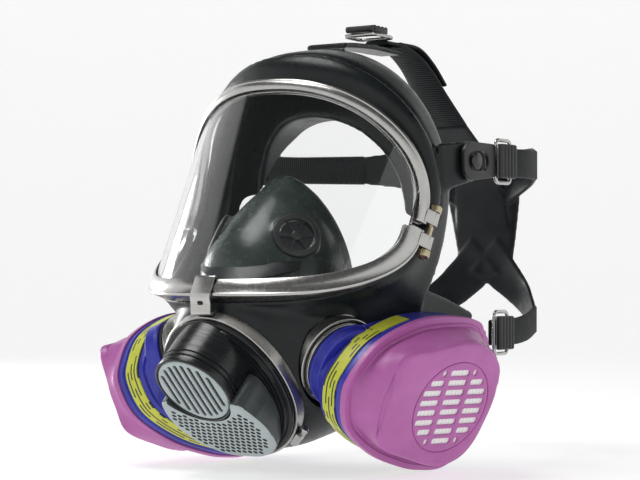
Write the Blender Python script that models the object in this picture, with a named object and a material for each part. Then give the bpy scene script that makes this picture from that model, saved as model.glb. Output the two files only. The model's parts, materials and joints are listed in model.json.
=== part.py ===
"""Full-face respirator with two bayonet filters: every piece a separate solid.

Units in this script are millimetres until MM scales them to metres.
+Z is up, -Y is the way the wearer looks and +X is the wearer's left hand side.
The origin is in the middle of the face opening, at eye height.
"""

import math

import bmesh
import bpy
import numpy as np
from mathutils import Vector

MM = 0.001
GAP = 0.3

# Visor: a cylinder whose rulings lean forward towards the chin.
VISOR_HALF_WIDTH = 82.3
VISOR_TOP = 57.1
VISOR_BOTTOM = -57.5
VISOR_WIDEST_Z = -22.1
VISOR_TOP_Y = -43.2
VISOR_LEAN = 0.4712
VISOR_CURVE_HALF_WIDTH = 88.1
VISOR_CURVE_DEPTH = 97.0
LENS_THICKNESS = 2.5
FRAME_WIDTH_UPPER = 6.5
FRAME_WIDTH_LOWER = 10.0
FRAME_FRONT = 1.6
FRAME_BACK = -6.0
HALF_JOINT_GAP = 1.6

# Face blank: a rubber shell between the visor and the face seal.
WALL = 3.0
SEAL_HALF_WIDTH = 75.0
SEAL_TOP = 76.0
SEAL_BOTTOM = -122.0
SEAL_MIDDLE = -20.0
JAW_TUCK = 9.0
LIP_HALF_WIDTH = 49.0
LIP_TOP = 38.0
LIP_MIDDLE = -15.0
LIP_BOTTOM = -104.0
LIP_Y = 8.0
LIP_CURVE = 19.0

# Front port: an egg-shaped mouth, tilted down.
PORT_TOP = np.array([0.0, -99.6, -68.4])
PORT_TILT = math.radians(30)
PORT_HALF_WIDTH = 41.5
PORT_WIDEST = 47.0
PORT_ABOVE = 47.0
PORT_BELOW = 37.5
PORT_SCREW_ANGLE = math.radians(-42)
TUBE_TILT = math.radians(43)
TUBE_MOUTH = np.array([0.0, -104.8, -105.2])
TUBE_RADIUS = 22.3
EXHALE_VALVE_DROP = -62.8
SHIELD_TILT = math.radians(54)

# Side ports and filters, given for the wearer's left and mirrored for the right.
PORT_SIDE_CENTRE = np.array([48.5, -48.5, -89.5])
PORT_SIDE_AXIS = np.array([0.90, -0.25, -0.36])
PORT_SIDE_RADIUS = 23.6
FILTER_CENTRE = np.array([78.3, -6.3, -98.8])
FILTER_AXIS = np.array([0.960, -0.019, -0.278])
GRILLE_CENTRE = np.array([102.0, -22.8, -113.6])
GRILLE_AXIS = np.array([0.907, -0.175, -0.384])
GRILLE_RADIUS = 25.1
SLOT_PITCH_U = 15.7
SLOT_PITCH_V = 5.42
SLOT_HALF_LENGTH = 6.6
SLOT_HALF_WIDTH = 1.75

# Nose cup, and its left control valve.
CUP_HALF_WIDTH = 30.0
CUP_SWELL = 15.0
CUP_BULGE = 16.0
CUP_TOP = 5.0
CUP_BOTTOM = -100.0
CUP_WIDEST_Z = -54.0
CUP_TOP_Y = -31.0
CUP_VALVE_CENTRE = np.array([26.0, -53.0, -26.5])
CUP_VALVE_AXIS = np.array([0.72, -0.55, 0.42])

# Harness.
STRAP_THICKNESS = 2.2

RUBBER = (0.018, 0.022, 0.023, 1)
STEEL = (0.72, 0.71, 0.68, 1)
BLACK = (0.012, 0.012, 0.013, 1)
GREY = (0.27, 0.31, 0.31, 1)
BLUE = (0.024, 0.028, 0.34, 1)
MAGENTA = (0.46, 0.13, 0.39, 1)
YELLOW = (0.42, 0.47, 0.02, 1)
WHITE = (0.82, 0.82, 0.80, 1)
CLEAR = (0.90, 0.92, 0.92, 1)
CUP_GREEN = (0.035, 0.046, 0.042, 1)


class Frame:
    """A local frame: u across, v up and h along the axis."""

    def __init__(self, origin, axis, across=None):
        self.o = np.array(origin, float)
        self.h = np.array(axis, float) / np.linalg.norm(axis)
        if across is None:
            across = np.cross([0.0, 0.0, 1.0], self.h)
        self.u = np.array(across, float)
        self.u -= self.h * (self.u @ self.h)
        self.u /= np.linalg.norm(self.u)
        self.v = np.cross(self.h, self.u)

    def at(self, u, v, h=0.0):
        return self.o + u * self.u + v * self.v + h * self.h

    def circle(self, radius, h=0.0, count=20, u=0.0, v=0.0):
        return [
            self.at(u + radius * math.cos(a), v + radius * math.sin(a), h)
            for a in turn(count)
        ]


def turn(count):
    return [2 * math.pi * i / count for i in range(count)]


def clear_scene():
    for obj in list(bpy.data.objects):
        bpy.data.objects.remove(obj, do_unlink=True)


def material(name, colour, roughness, metallic):
    made = bpy.data.materials.new(name + "_finish")
    made.use_nodes = True
    shader = made.node_tree.nodes["Principled BSDF"]
    shader.inputs["Base Color"].default_value = colour
    shader.inputs["Roughness"].default_value = roughness
    shader.inputs["Metallic"].default_value = metallic
    made.diffuse_color = colour
    return made


def solid(name, shape, colour, roughness=0.5, metallic=0.0, origin=(0, 0, 0), side=1):
    """A closed mesh object; side -1 mirrors it to the wearer's right."""
    points, faces = shape
    origin = Vector(origin) * MM
    flip = np.array([side, 1.0, 1.0])
    origin.x *= side
    mesh = bpy.data.meshes.new(name)
    mesh.from_pydata([tuple(Vector(np.array(p) * flip) * MM - origin) for p in points], [], faces)
    work = bmesh.new()
    work.from_mesh(mesh)
    bmesh.ops.recalc_face_normals(work, faces=work.faces)
    work.to_mesh(mesh)
    work.free()
    mesh.shade_smooth()
    mesh.set_sharp_from_angle(angle=math.radians(35))
    obj = bpy.data.objects.new(name, mesh)
    obj.location = origin
    obj.data.materials.append(material(name, colour, roughness, metallic))
    bpy.context.scene.collection.objects.link(obj)
    return obj


def tool(name, shape, side=1):
    """A helper solid that only cuts or joins."""
    obj = solid(name, shape, BLACK, side=side)
    obj.hide_render = True
    obj.display_type = "WIRE"
    return obj


def boolean(obj, other, operation):
    step = obj.modifiers.new(other.name, "BOOLEAN")
    step.operation = operation
    step.solver = "EXACT"
    step.object = other


def cut(obj, *others):
    for other in others:
        boolean(obj, other, "DIFFERENCE")


def join(obj, *others):
    for other in others:
        boolean(obj, other, "UNION")


def bridge(faces, first, second, count):
    for i in range(count):
        j = (i + 1) % count
        faces.append((first + i, first + j, second + j, second + i))


def loft(loops):
    """A solid through closed loops of equal length, capped with a fan at each end."""
    count = len(loops[0])
    points = [p for loop in loops for p in loop]
    faces = []
    for k in range(len(loops) - 1):
        bridge(faces, k * count, (k + 1) * count, count)
    for loop, start in ((loops[0], 0), (loops[-1], (len(loops) - 1) * count)):
        middle = len(points)
        points.append(np.mean(loop, axis=0))
        for i in range(count):
            faces.append((start + i, start + (i + 1) % count, middle))
    return points, faces


def wall(loops):
    """A ring-shaped solid through closed loops that come back to the first one."""
    count = len(loops[0])
    points = [p for loop in loops for p in loop]
    faces = []
    for k in range(len(loops)):
        bridge(faces, k * count, (k + 1) % len(loops) * count, count)
    return points, faces


def turned(frame, profile, count=20):
    """A ring turned about the frame's axis from a closed profile of (radius, height)."""
    return wall([frame.circle(r, h, count) for r, h in profile])


def disc(frame, radius, low, high, count=20, u=0.0, v=0.0):
    return loft([frame.circle(radius, h, count, u, v) for h in (low, high)])


def sweep(stations, closed=False):
    """A bar through stations, each the list of its section's corners."""
    if closed:
        return wall(stations)
    count = len(stations[0])
    points = [p for station in stations for p in station]
    faces = []
    for k in range(len(stations) - 1):
        bridge(faces, k * count, (k + 1) * count, count)
    faces.append(tuple(range(count)))
    faces.append(tuple(range(len(points) - count, len(points))))
    return points, faces


def box(frame, u, v, h):
    """A block between pairs of local coordinates."""
    corners = ((u[0], v[0]), (u[1], v[0]), (u[1], v[1]), (u[0], v[1]))
    return sweep([[frame.at(a, b, c) for a, b in corners] for c in h])


def prism(frame, outline, low, high):
    return loft([[frame.at(a, b, h) for a, b in outline] for h in (low, high)])


def merged(*shapes):
    """Several separate closed shapes in one mesh, used only for cutters."""
    points, faces = [], []
    for more, shape_faces in shapes:
        start = len(points)
        points += list(more)
        faces += [tuple(start + i for i in face) for face in shape_faces]
    return points, faces


def smooth_path(points, count):
    """Points evenly spaced along a Catmull-Rom curve through the given ones."""
    p = np.array(points, float)
    p = np.vstack([2 * p[0] - p[1], p, 2 * p[-1] - p[-2]])
    fine = []
    for i in range(1, len(p) - 2):
        for t in np.linspace(0, 1, 24, endpoint=False):
            a, b, c, d = p[i - 1 : i + 3]
            bend = (2 * a - 5 * b + 4 * c - d) * t**2 + (3 * b - a - 3 * c + d) * t**3
            fine.append(0.5 * (2 * b + (c - a) * t + bend))
    fine.append(p[-2])
    return even(np.array(fine), count)


def even(path, count):
    """The path sampled again at equal distances."""
    run = np.concatenate([[0], np.cumsum(np.linalg.norm(np.diff(path, axis=0), axis=1))])
    stops = np.linspace(0, run[-1], count)
    return np.stack([np.interp(stops, run, path[:, k]) for k in range(path.shape[1])], axis=1)


def ribbon(path, outward, width, thickness, end_width=None):
    """Strap stations along a path; outward gives the strap's face direction at each end."""
    stations = []
    last = len(path) - 1
    for i, p in enumerate(path):
        along = path[min(i + 1, last)] - path[max(i - 1, 0)]
        along /= np.linalg.norm(along)
        share = i / last
        face = (1 - share) * np.array(outward[0], float) + share * np.array(outward[-1], float)
        if len(outward) == 3:
            middle = np.array(outward[1], float)
            first = np.array(outward[0], float)
            end = np.array(outward[2], float)
            if share < 0.5:
                face = first + (middle - first) * share * 2
            else:
                face = middle + (end - middle) * (share * 2 - 1)
        face -= along * (face @ along)
        face /= np.linalg.norm(face)
        across = np.cross(along, face)
        half = 0.5 * (width + ((end_width or width) - width) * share)
        t = 0.5 * thickness
        corners = ((1, 1), (-1, 1), (-1, -1), (1, -1))
        stations.append([p + a * across * half + b * face * t for a, b in corners])
    return stations


# --- visor geometry -------------------------------------------------------------------


def power(value, exponent):
    return math.copysign(abs(value) ** exponent, value)


def visor_y(x, z):
    x = max(-0.985, min(0.985, x / VISOR_CURVE_HALF_WIDTH))
    return VISOR_TOP_Y + VISOR_LEAN * (z - VISOR_TOP) + VISOR_CURVE_DEPTH * (1 - math.sqrt(1 - x * x))


def visor_normal(x):
    s = max(-0.985, min(0.985, x / VISOR_CURVE_HALF_WIDTH))
    slope = VISOR_CURVE_DEPTH * s / (VISOR_CURVE_HALF_WIDTH * math.sqrt(1 - s * s))
    n = np.array([slope, -1.0, VISOR_LEAN])
    return n / np.linalg.norm(n)


def visor_half(upper, count):
    """The frame's outer edge from the left lug to the right one, over the top or under."""
    fine = []
    for i in range(1201):
        t = math.pi * i / 1200
        c, s = math.cos(t), math.sin(t)
        if upper:
            x = VISOR_HALF_WIDTH * power(c, 0.835)
            z = VISOR_WIDEST_Z + (VISOR_TOP - VISOR_WIDEST_Z) * s**0.832
        else:
            x = VISOR_HALF_WIDTH * power(c, 0.40)
            z = VISOR_WIDEST_Z + (VISOR_BOTTOM - VISOR_WIDEST_Z) * s**0.605
        fine.append([x, visor_y(x, z), z])
    return even(np.array(fine), count)


def visor_loop(upper_count, lower_count):
    """Closed loop with, at each point, the lens normal and the outward edge direction."""
    upper = visor_half(True, upper_count + 1)
    lower = visor_half(False, lower_count + 1)[::-1]
    loop = np.vstack([upper[:-1], lower[:-1]])
    return with_directions(loop, True)


def with_directions(loop, closed):
    n = len(loop)
    out = []
    for i, p in enumerate(loop):
        ahead = loop[(i + 1) % n] if closed or i < n - 1 else p
        behind = loop[i - 1] if closed or i > 0 else p
        along = ahead - behind
        normal = visor_normal(p[0])
        edge = np.cross(along, normal)
        edge /= np.linalg.norm(edge)
        centre = np.array([0.0, visor_y(0, 0), 0.0])
        if edge @ (p - centre) < 0:
            edge = -edge
        out.append((p, normal, edge))
    return out


def offset_loop(loop, grow, push):
    return [p + grow * edge + push * normal for p, normal, edge in loop]


# --- face blank -----------------------------------------------------------------------

UPPER_COUNT = 16
LOWER_COUNT = 14


def seal_point(t, grow):
    """The face seal's loop: a face-shaped oval, further back at the temples."""
    c, s = math.cos(t), math.sin(t)
    half = SEAL_HALF_WIDTH + grow
    if s >= 0:
        x = half * power(c, 0.92)
        z = SEAL_MIDDLE + (SEAL_TOP + grow - SEAL_MIDDLE) * s**0.85
    else:
        x = half * power(c, 1.25)
        z = SEAL_MIDDLE + (SEAL_BOTTOM - grow - SEAL_MIDDLE) * abs(s) ** 0.92
    y = np.interp(z, [-125, -55, 0, 40, 80], [-22, -12, 0, 3, 6]) + 17 * (x / SEAL_HALF_WIDTH) ** 2
    return np.array([x, y, z])


def seal_loop(grow):
    fine_up = np.array([seal_point(math.pi * i / 400, grow) for i in range(401)])
    fine_down = np.array([seal_point(math.pi + math.pi * i / 400, grow) for i in range(401)])
    return np.vstack([even(fine_up, UPPER_COUNT + 1)[:-1], even(fine_down, LOWER_COUNT + 1)[:-1]])


def blank_loop(share, grow, bulge):
    """A loop of the rubber body between the visor, share 0, and the seal, share 1."""
    start = np.array(offset_loop(visor_loop(UPPER_COUNT, LOWER_COUNT), min(grow, 0.5), -7.5))
    end = seal_loop(grow)
    loop = (1 - share) * start + share * end
    for p in loop:
        radial = np.array([p[0], 0.0, p[2] - SEAL_MIDDLE])
        radial /= np.linalg.norm(radial)
        up = max(0.0, radial[2])
        down = max(0.0, -radial[2])
        swell = (1 - share) * (max(grow, 0.5) - 0.5) * (0.2 + 0.8 * up) * (1 - down)
        p += radial * (bulge * (0.3 + 0.7 * up**2) + swell)
        p[0] -= JAW_TUCK * 4 * share * (1 - share) * down * p[0] / SEAL_HALF_WIDTH
    return list(loop)


def lip_loop(grow):
    """The free edge of the seal's inner lip, which lies on the face."""
    loop = []
    count = UPPER_COUNT + LOWER_COUNT
    for i in range(count):
        t = math.pi * (i / UPPER_COUNT if i < UPPER_COUNT else 1 + (i - UPPER_COUNT) / LOWER_COUNT)
        c, s = math.cos(t), math.sin(t)
        reach = LIP_TOP - LIP_MIDDLE if s > 0 else LIP_MIDDLE - LIP_BOTTOM
        x = (LIP_HALF_WIDTH + grow) * power(c, 0.9)
        z = LIP_MIDDLE + (reach + grow) * power(s, 0.9)
        loop.append(np.array([x, LIP_Y + LIP_CURVE * ((x / LIP_HALF_WIDTH) ** 2 - 1), z]))
    return loop


PORT = Frame(PORT_TOP, (0, -math.cos(PORT_TILT), -math.sin(PORT_TILT)), (1, 0, 0))
TUBE = Frame(TUBE_MOUTH, (0, -math.cos(TUBE_TILT), -math.sin(TUBE_TILT)), (1, 0, 0))
SIDE_PORT = Frame(PORT_SIDE_CENTRE, PORT_SIDE_AXIS)
FILTER = Frame(FILTER_CENTRE, FILTER_AXIS)
GRILLE = Frame(GRILLE_CENTRE, GRILLE_AXIS)
CUP_VALVE = Frame(CUP_VALVE_CENTRE, CUP_VALVE_AXIS)


def egg(grow, h, count=24, stretch=1.0):
    """The port's egg-shaped outline, widest at PORT_WIDEST below the frame's origin."""
    loop = []
    for a in turn(count):
        c, s = math.cos(a), math.sin(a)
        reach = PORT_ABOVE if s > 0 else PORT_BELOW
        u = (PORT_HALF_WIDTH + grow) * c * stretch
        v = -PORT_WIDEST + (reach + grow) * s
        loop.append(PORT.at(u, v, h))
    return loop


def snout(grow, low, high, count=22):
    """The neck of the face blank behind the front port."""
    return loft(
        [
            egg(-1.9 + grow, high, count),
            egg(-1.9 + grow, -8.6, count),
            egg(2.6 + grow, -12.0, count),
            egg(9.0 + grow, -24.0, count),
            egg(15.0 + grow, -42.0, count),
            egg(16.0 + grow, low, count, stretch=0.95),
        ]
    )


def boss(grow, low, high):
    """The neck of the face blank behind a side port."""
    r = PORT_SIDE_RADIUS - 1.8 + grow
    rings = [(r, high), (r, -3.4), (r + 2.5, -5.5), (r + 6, -16), (r + 11, -30), (r + 9, low)]
    return loft([SIDE_PORT.circle(radius, h, 20) for radius, h in rings])


def lug(path, outward, width, thickness, end_width):
    return sweep(ribbon(smooth_path(path, 8), outward, width, thickness, end_width))


FOREHEAD_PATH = [(0, -24, 72.5), (0, -8, 78.0), (0, 12, 80.0), (0, 40, 80.0), (0, 66, 79.0)]
FOREHEAD_LUG = (FOREHEAD_PATH, [(0, 0, 1), (0, 0, 1)])
TEMPLE_LUG = ([(76.5, 4, 10), (79.5, 20, 13), (80.5, 36, 15)], [(1, 0, 0), (1, 0, 0)])
NECK_LUG = ([(65.0, -2, -61), (65.2, 20, -65.5), (67.0, 46, -73.5)], [(1, 0, 0), (1, 0.2, 0)])


def worm_place():
    """The side clamp's screw: its frame on the band, u along the port's axis."""
    place = SIDE_PORT.at(9.0, -21.8, 0.3)
    return Frame(place, place - SIDE_PORT.at(0, 0, 0.3), SIDE_PORT.h)


def face_blank():
    shell = solid(
        "face_blank",
        loft(
            [
                offset_loop(visor_loop(UPPER_COUNT, LOWER_COUNT), -0.5, -6.4),
                offset_loop(visor_loop(UPPER_COUNT, LOWER_COUNT), 1.0, -7.2),
                blank_loop(0.10, 6.0, 4.0),
                blank_loop(0.30, 3.0, 9.0),
                blank_loop(0.60, 2.0, 6.0),
                blank_loop(0.85, 1.5, 2.0),
                blank_loop(1.00, 0.0, 0.0),
            ]
        ),
        RUBBER,
        0.45,
    )
    join(shell, tool("snout_outer", snout(0, -58, -1.0)))
    for side, end in ((1, "left"), (-1, "right")):
        join(shell, tool("boss_outer_" + end, boss(0, -46, 4.0), side))
        join(shell, tool("temple_lug_" + end, lug(*TEMPLE_LUG, 26, 3.0, 20), side))
        join(shell, tool("neck_lug_" + end, lug(*NECK_LUG, 18, 2.6, 15), side))
    join(shell, tool("forehead_lug", lug(*FOREHEAD_LUG, 34, 3.0, 16)))
    for side, end in ((1, "left"), (-1, "right")):
        ring_seat = [(22.1, -3.45), (26.5, -3.45), (29.0, 2.0), (29.0, 7.0), (22.1, 7.0)]
        cut(shell, tool("side_band_seat_" + end, turned(SIDE_PORT, ring_seat, 20), side))
        screw_room = box(worm_place(), (-4.2, 4.2), (-8.3, 6.8), (-0.6, 9.0))
        cut(shell, tool("side_screw_room_" + end, screw_room, side))
        cut(shell, tool("side_port_face_" + end, disc(SIDE_PORT, 31, 3.65, 22, 18), side))
    seat = [egg(grow, h, 22) for grow, h in ((-1.75, -8.3), (5, -8.3), (9, 4), (-1.75, 4))]
    cut(shell, tool("port_band_seat", wall(seat)))
    cavity = loft(
        [
            offset_loop(visor_loop(UPPER_COUNT, LOWER_COUNT), -4.5, 6.0),
            offset_loop(visor_loop(UPPER_COUNT, LOWER_COUNT), -4.5, -8.5),
            blank_loop(0.12, 6.0 - WALL, 3.5),
            blank_loop(0.30, 3.0 - WALL, 8.5),
            blank_loop(0.60, 2.0 - WALL, 5.5),
            blank_loop(0.82, 1.5 - WALL, 2.0),
            lip_loop(0.0),
            [p + np.array([0, 40.0, 0]) for p in lip_loop(0.0)],
        ]
    )
    cut(shell, tool("face_cavity", cavity))
    cut(shell, tool("snout_inner", snout(-WALL, -52, 8.0)))
    for side, end in ((1, "left"), (-1, "right")):
        cut(shell, tool("boss_inner_" + end, boss(-WALL, -40, 12.0), side))
    return shell


# --- visor ----------------------------------------------------------------------------


def visor_lens():
    inset = 3.0
    columns = 24
    upper = with_directions(visor_half(True, 200), False)
    lower = with_directions(visor_half(False, 200), False)
    top = np.array([p - inset * e for p, _, e in upper])
    low = np.array([p - inset * e for p, _, e in lower])
    reach = VISOR_HALF_WIDTH - inset - 0.4
    xs = [reach * math.sin(0.5 * math.pi * (2 * i / columns - 1)) for i in range(columns + 1)]
    front = []
    for x in xs:
        z_top = np.interp(-x, -top[:, 0], top[:, 2])
        z_low = np.interp(-x, -low[:, 0], low[:, 2])
        for z in (z_top, 0.5 * (z_top + z_low), z_low):
            front.append((x, z))
    points = [np.array([x, visor_y(x, z), z]) for x, z in front]
    points += [np.array([x, visor_y(x, z), z]) - LENS_THICKNESS * visor_normal(x) for x, z in front]
    back = len(front)
    faces = []
    for i in range(columns):
        for k in range(2):
            a, b = 3 * i + k, 3 * i + 3 + k
            faces.append((a, b, b + 1, a + 1))
            faces.append((back + a, back + a + 1, back + b + 1, back + b))
        for k in (0, 2):
            a, b = 3 * i + k, 3 * i + 3 + k
            faces.append((a, b, back + b, back + a))
    for first in (0, 3 * columns):
        for k in range(2):
            faces.append((first + k, first + k + 1, back + first + k + 1, back + first + k))
    return solid("visor_lens", (points, faces), CLEAR, 0.05)


def frame_section(p, normal, edge, width):
    """A channel that holds the lens edge: outer lip, web and inner lip."""
    profile = [
        (0, FRAME_FRONT),
        (0, FRAME_BACK),
        (-width, FRAME_BACK),
        (-width, -LENS_THICKNESS - 0.7),
        (-1.8, -LENS_THICKNESS - 0.7),
        (-1.8, 0.5),
        (-width, 0.5),
        (-width, FRAME_FRONT),
    ]
    return [p + b * edge + n * normal for b, n in profile]


def frame_half(name, upper, count):
    width = FRAME_WIDTH_UPPER if upper else FRAME_WIDTH_LOWER
    stations = []
    fine = visor_half(upper, 400)
    skip = round(HALF_JOINT_GAP / np.linalg.norm(fine[1] - fine[0]))
    for p, normal, edge in with_directions(even(fine[skip:-skip], count), False):
        stations.append(frame_section(p, normal, edge, width))
    return solid(name, sweep(stations), STEEL, 0.22, 1.0)


def ear_frame():
    """The screw axis at the left joint of the two frame halves; u points outward along the lens."""
    place = np.array([VISOR_HALF_WIDTH, visor_y(VISOR_HALF_WIDTH, VISOR_WIDEST_Z), VISOR_WIDEST_Z])
    normal = visor_normal(VISOR_HALF_WIDTH)
    along = np.array([0.0, VISOR_LEAN, 1.0])
    outward = np.cross(along, normal)
    outward *= np.sign(outward[1]) / np.linalg.norm(outward)
    return Frame(place + 4.3 * outward - 1.0 * normal, along, outward)


EAR = ear_frame()


def visor_frame():
    frame_half("visor_frame_upper", True, 26)
    frame_half("visor_frame_lower", False, 26)
    for side, end in ((1, "left"), (-1, "right")):
        for part, low in (("upper", 3.0), ("lower", -10.5)):
            ear = box(EAR, (-6.5, 3.4), (-3.6, 2.4), (low, low + 7.5))
            join(bpy.data.objects["visor_frame_" + part], tool(f"ear_{part}_{end}", ear, side))


def frame_screws():
    for side, end in ((1, "left"), (-1, "right")):
        profile = ((2.8, -15.0), (3.3, -14.2), (3.3, -11.0), (1.4, -10.8), (1.4, 15.5))
        shape = loft([EAR.circle(r, h, 14) for r, h in profile])
        solid("frame_screw_" + end, shape, STEEL, 0.3, 1.0, side=side)
        nut = turned(EAR, [(1.7, 10.9), (3.3, 10.9), (3.3, 14.6), (1.7, 14.6)], 14)
        solid("frame_nut_" + end, nut, STEEL, 0.3, 1.0, side=side)
        for part in ("upper", "lower"):
            hole = tool(f"screw_hole_{part}_{end}", disc(EAR, 1.7, -30, 30, 14), side)
            cut(bpy.data.objects["visor_frame_" + part], hole)


def bent_strip(frame, path, thickness, half):
    """A strip bent along a path of (v, h) in the frame's side plane, half its width each way along u."""
    stations = []
    last = len(path) - 1
    for i, (v, h) in enumerate(path):
        before = np.array(path[max(i - 1, 0)], float)
        after = np.array(path[min(i + 1, last)], float)
        here = np.array([v, h], float)
        first = (here - before) / (np.linalg.norm(here - before) or 1)
        second = (after - here) / (np.linalg.norm(after - here) or 1)
        along = first + second
        along /= np.linalg.norm(along)
        side = np.array([-along[1], along[0]])
        lean = max(0.5, abs(along @ (first if i else second)))
        a, b = here + side * thickness / 2 / lean, here - side * thickness / 2 / lean
        stations.append([frame.at(x, *q) for x, q in ((half, a), (-half, a), (-half, b), (half, b))])
    return sweep(stations)


def centre_clip():
    """A steel strap hooked over the lower frame, its foot on the port clamp."""
    bottom = np.array([0.0, visor_y(0, VISOR_BOTTOM), VISOR_BOTTOM])
    local = Frame(bottom, visor_normal(0), (1, 0, 0))
    top = FRAME_WIDTH_LOWER + 0.9
    front = FRAME_FRONT + 0.9
    foot = []
    for h in (-1.5, -7.0):
        reach = PORT.at(0, PORT_ABOVE - PORT_WIDEST + 0.9, h) - bottom
        foot.append((reach @ local.v, reach @ local.h))
    path = [(top, 0.9), (top, front), (-0.5, front), (-3.5, front - 2.5), foot[0], foot[1]]
    clip = solid("centre_clip", bent_strip(local, path, 1.0, 6.5), STEEL, 0.2, 1.0)
    eye = Frame(local.at(0, -3.4, front - 2.2), local.at(0, -3.4, front) - local.at(0, -1.0, front - 3.4))
    cut(clip, tool("clip_hole", disc(eye, 1.2, -6, 6, 10)))


# --- front port -----------------------------------------------------------------------


def port_clamp():
    band = wall([egg(-1.1, -8.0), egg(0, -8.0), egg(0, -1.0), egg(-1.1, -1.0)])
    solid("port_clamp_band", band, STEEL, 0.2, 1.0)
    c, s = math.cos(PORT_SCREW_ANGLE), math.sin(PORT_SCREW_ANGLE)
    place = PORT.at(PORT_HALF_WIDTH * c, -PORT_WIDEST + PORT_BELOW * s, -4.6)
    outward = PORT.at(PORT_BELOW * c, PORT_HALF_WIDTH * s) - PORT.o
    worm_screw("port_clamp_screw", Frame(place, outward, PORT.h), 1)


def worm_screw(name, local, side):
    """A clamp's worm housing with its screw, standing on the band."""
    shape = solid(name, box(local, (-3.4, 3.4), (-4.5, 4.5), (0.4, 3.3)), STEEL, 0.3, 1.0, side=side)
    head = Frame(local.at(0, -7.5, 2.6), local.v, local.u)
    join(shape, tool(name + "_head", disc(head, 2.0, 0, 13.5, 12), side))


def tube_shell(radius, front, port_h):
    """The round tube, its rear end cut off along the port's plane."""
    mouth = TUBE.circle(radius, front)
    rear = []
    for p in mouth:
        reach = ((p - PORT.o) @ PORT.h - port_h) / (TUBE.h @ PORT.h)
        rear.append(p - reach * TUBE.h)
    return rear, mouth


def exhalation_housing():
    edge = ((-5.7, -12.0), (-5.7, -0.9), (-5.7, -0.7), (-1.6, -0.65), (-1.6, 1.6), (-3.0, 2.6))
    flange = loft([egg(grow, h) for grow, h in edge])
    body = solid("exhalation_housing", flange, BLACK, 0.3)
    rear, _ = tube_shell(TUBE_RADIUS, 0, 1.0)
    grooved = [rear]
    rings = ((22.3, -7.0), (21.4, -6.6), (21.4, -5.8), (22.3, -5.4), (22.3, -0.6), (21.7, 0))
    grooved += [TUBE.circle(r, h) for r, h in rings]
    join(body, tool("tube_outer", loft(grooved)))
    bore = ((18.6, -60), (18.6, -2.9), (20.8, -2.7), (20.8, 8))
    cut(
        body,
        tool("plug_hollow", loft([egg(-8.0, -20.0), egg(-8.0, -2.5)])),
        tool("tube_bore", loft([TUBE.circle(r, h) for r, h in bore])),
        tool("valve_hole", disc(PORT, 12.0, -10, 8, v=EXHALE_VALVE_DROP)),
    )


def speech_grille():
    plate = loft([TUBE.circle(r, h) for r, h in ((20.5, -2.4), (20.5, -0.6), (19.9, 0))])
    grille = solid("speech_grille", plate, GREY, 0.45)
    slots = []
    reach = 17.6
    for i in range(8):
        u = (i - 3.5) * 4.3
        half = math.sqrt(reach**2 - u**2)
        slots.append(box(TUBE, (u - 1.05, u + 1.05), (-half, half), (-6, 6)))
    cut(grille, tool("grille_slots", merged(*slots)))
    ring = [(18.3, -6.6), (18.3, -2.7), (15.8, -2.7), (15.8, -6.6)]
    solid("diaphragm_ring", turned(TUBE, ring), BLACK, 0.4)
    solid("speech_diaphragm", disc(TUBE, 18.2, -7.4, -6.9), CLEAR, 0.3)


def exhalation_valve():
    seat_frame = Frame(PORT.at(0, EXHALE_VALVE_DROP, 0), PORT.h, PORT.u)
    ring = [(11.7, -2.0), (11.7, 3.2), (9.0, 3.2), (9.0, -2.0)]
    seat = solid("exhale_valve_seat", turned(seat_frame, ring), BLACK, 0.35)
    across = tool("seat_bar_across", box(seat_frame, (-9.5, 9.5), (-0.8, 0.8), (-1.5, 1.0)))
    upright = tool("seat_bar_up", box(seat_frame, (-0.8, 0.8), (-9.4, 9.4), (-1.4, 0.9)))
    hub = tool("seat_hub", disc(seat_frame, 3.0, -1.6, 1.1, 16))
    join(seat, across, upright, hub)
    cut(seat, tool("seat_eye", disc(seat_frame, 1.6, -6, 6, 12)))
    profile = ((1.2, -3.5), (1.2, 3.4), (9.5, 3.6), (9.5, 4.2), (2.0, 5.2))
    shape = loft([seat_frame.circle(r, h, 16) for r, h in profile])
    solid("exhale_valve_disc", shape, WHITE, 0.5, origin=seat_frame.at(0, 0, 3.5))


SHIELD = Frame((0, -91.0, -120.0), (0, -math.cos(SHIELD_TILT), -math.sin(SHIELD_TILT)), (1, 0, 0))
SHIELD_EDGE = [(0, 14), (20, 13.5), (27, 10), (31, -4), (30, -15), (25, -27), (13, -35.5), (0, -37)]


def shield_outline(grow, count=26):
    right = SHIELD_EDGE
    left = [(-u, v) for u, v in right[-2:0:-1]]
    ring = right + left
    path = smooth_path(ring + ring[:3], 3 * count)
    return [tuple(p) for p in closed_even(path, count, grow, (0.0, -13.0))]


def closed_even(path, count, grow, centre):
    """Points at equal angles about the centre on the closed curve, moved out by grow."""
    p = np.array(path)[:, :2] - np.array(centre)
    angle = np.unwrap(np.arctan2(p[:, 1], p[:, 0]))
    radius = np.hypot(p[:, 0], p[:, 1])
    order = np.argsort(angle % (2 * math.pi))
    known = (angle % (2 * math.pi))[order]
    radius = radius[order]
    out = []
    for a in turn(count):
        r = np.interp(a, known, radius, period=2 * math.pi) + grow
        out.append((centre[0] + r * math.cos(a), centre[1] + r * math.sin(a)))
    return out


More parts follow.
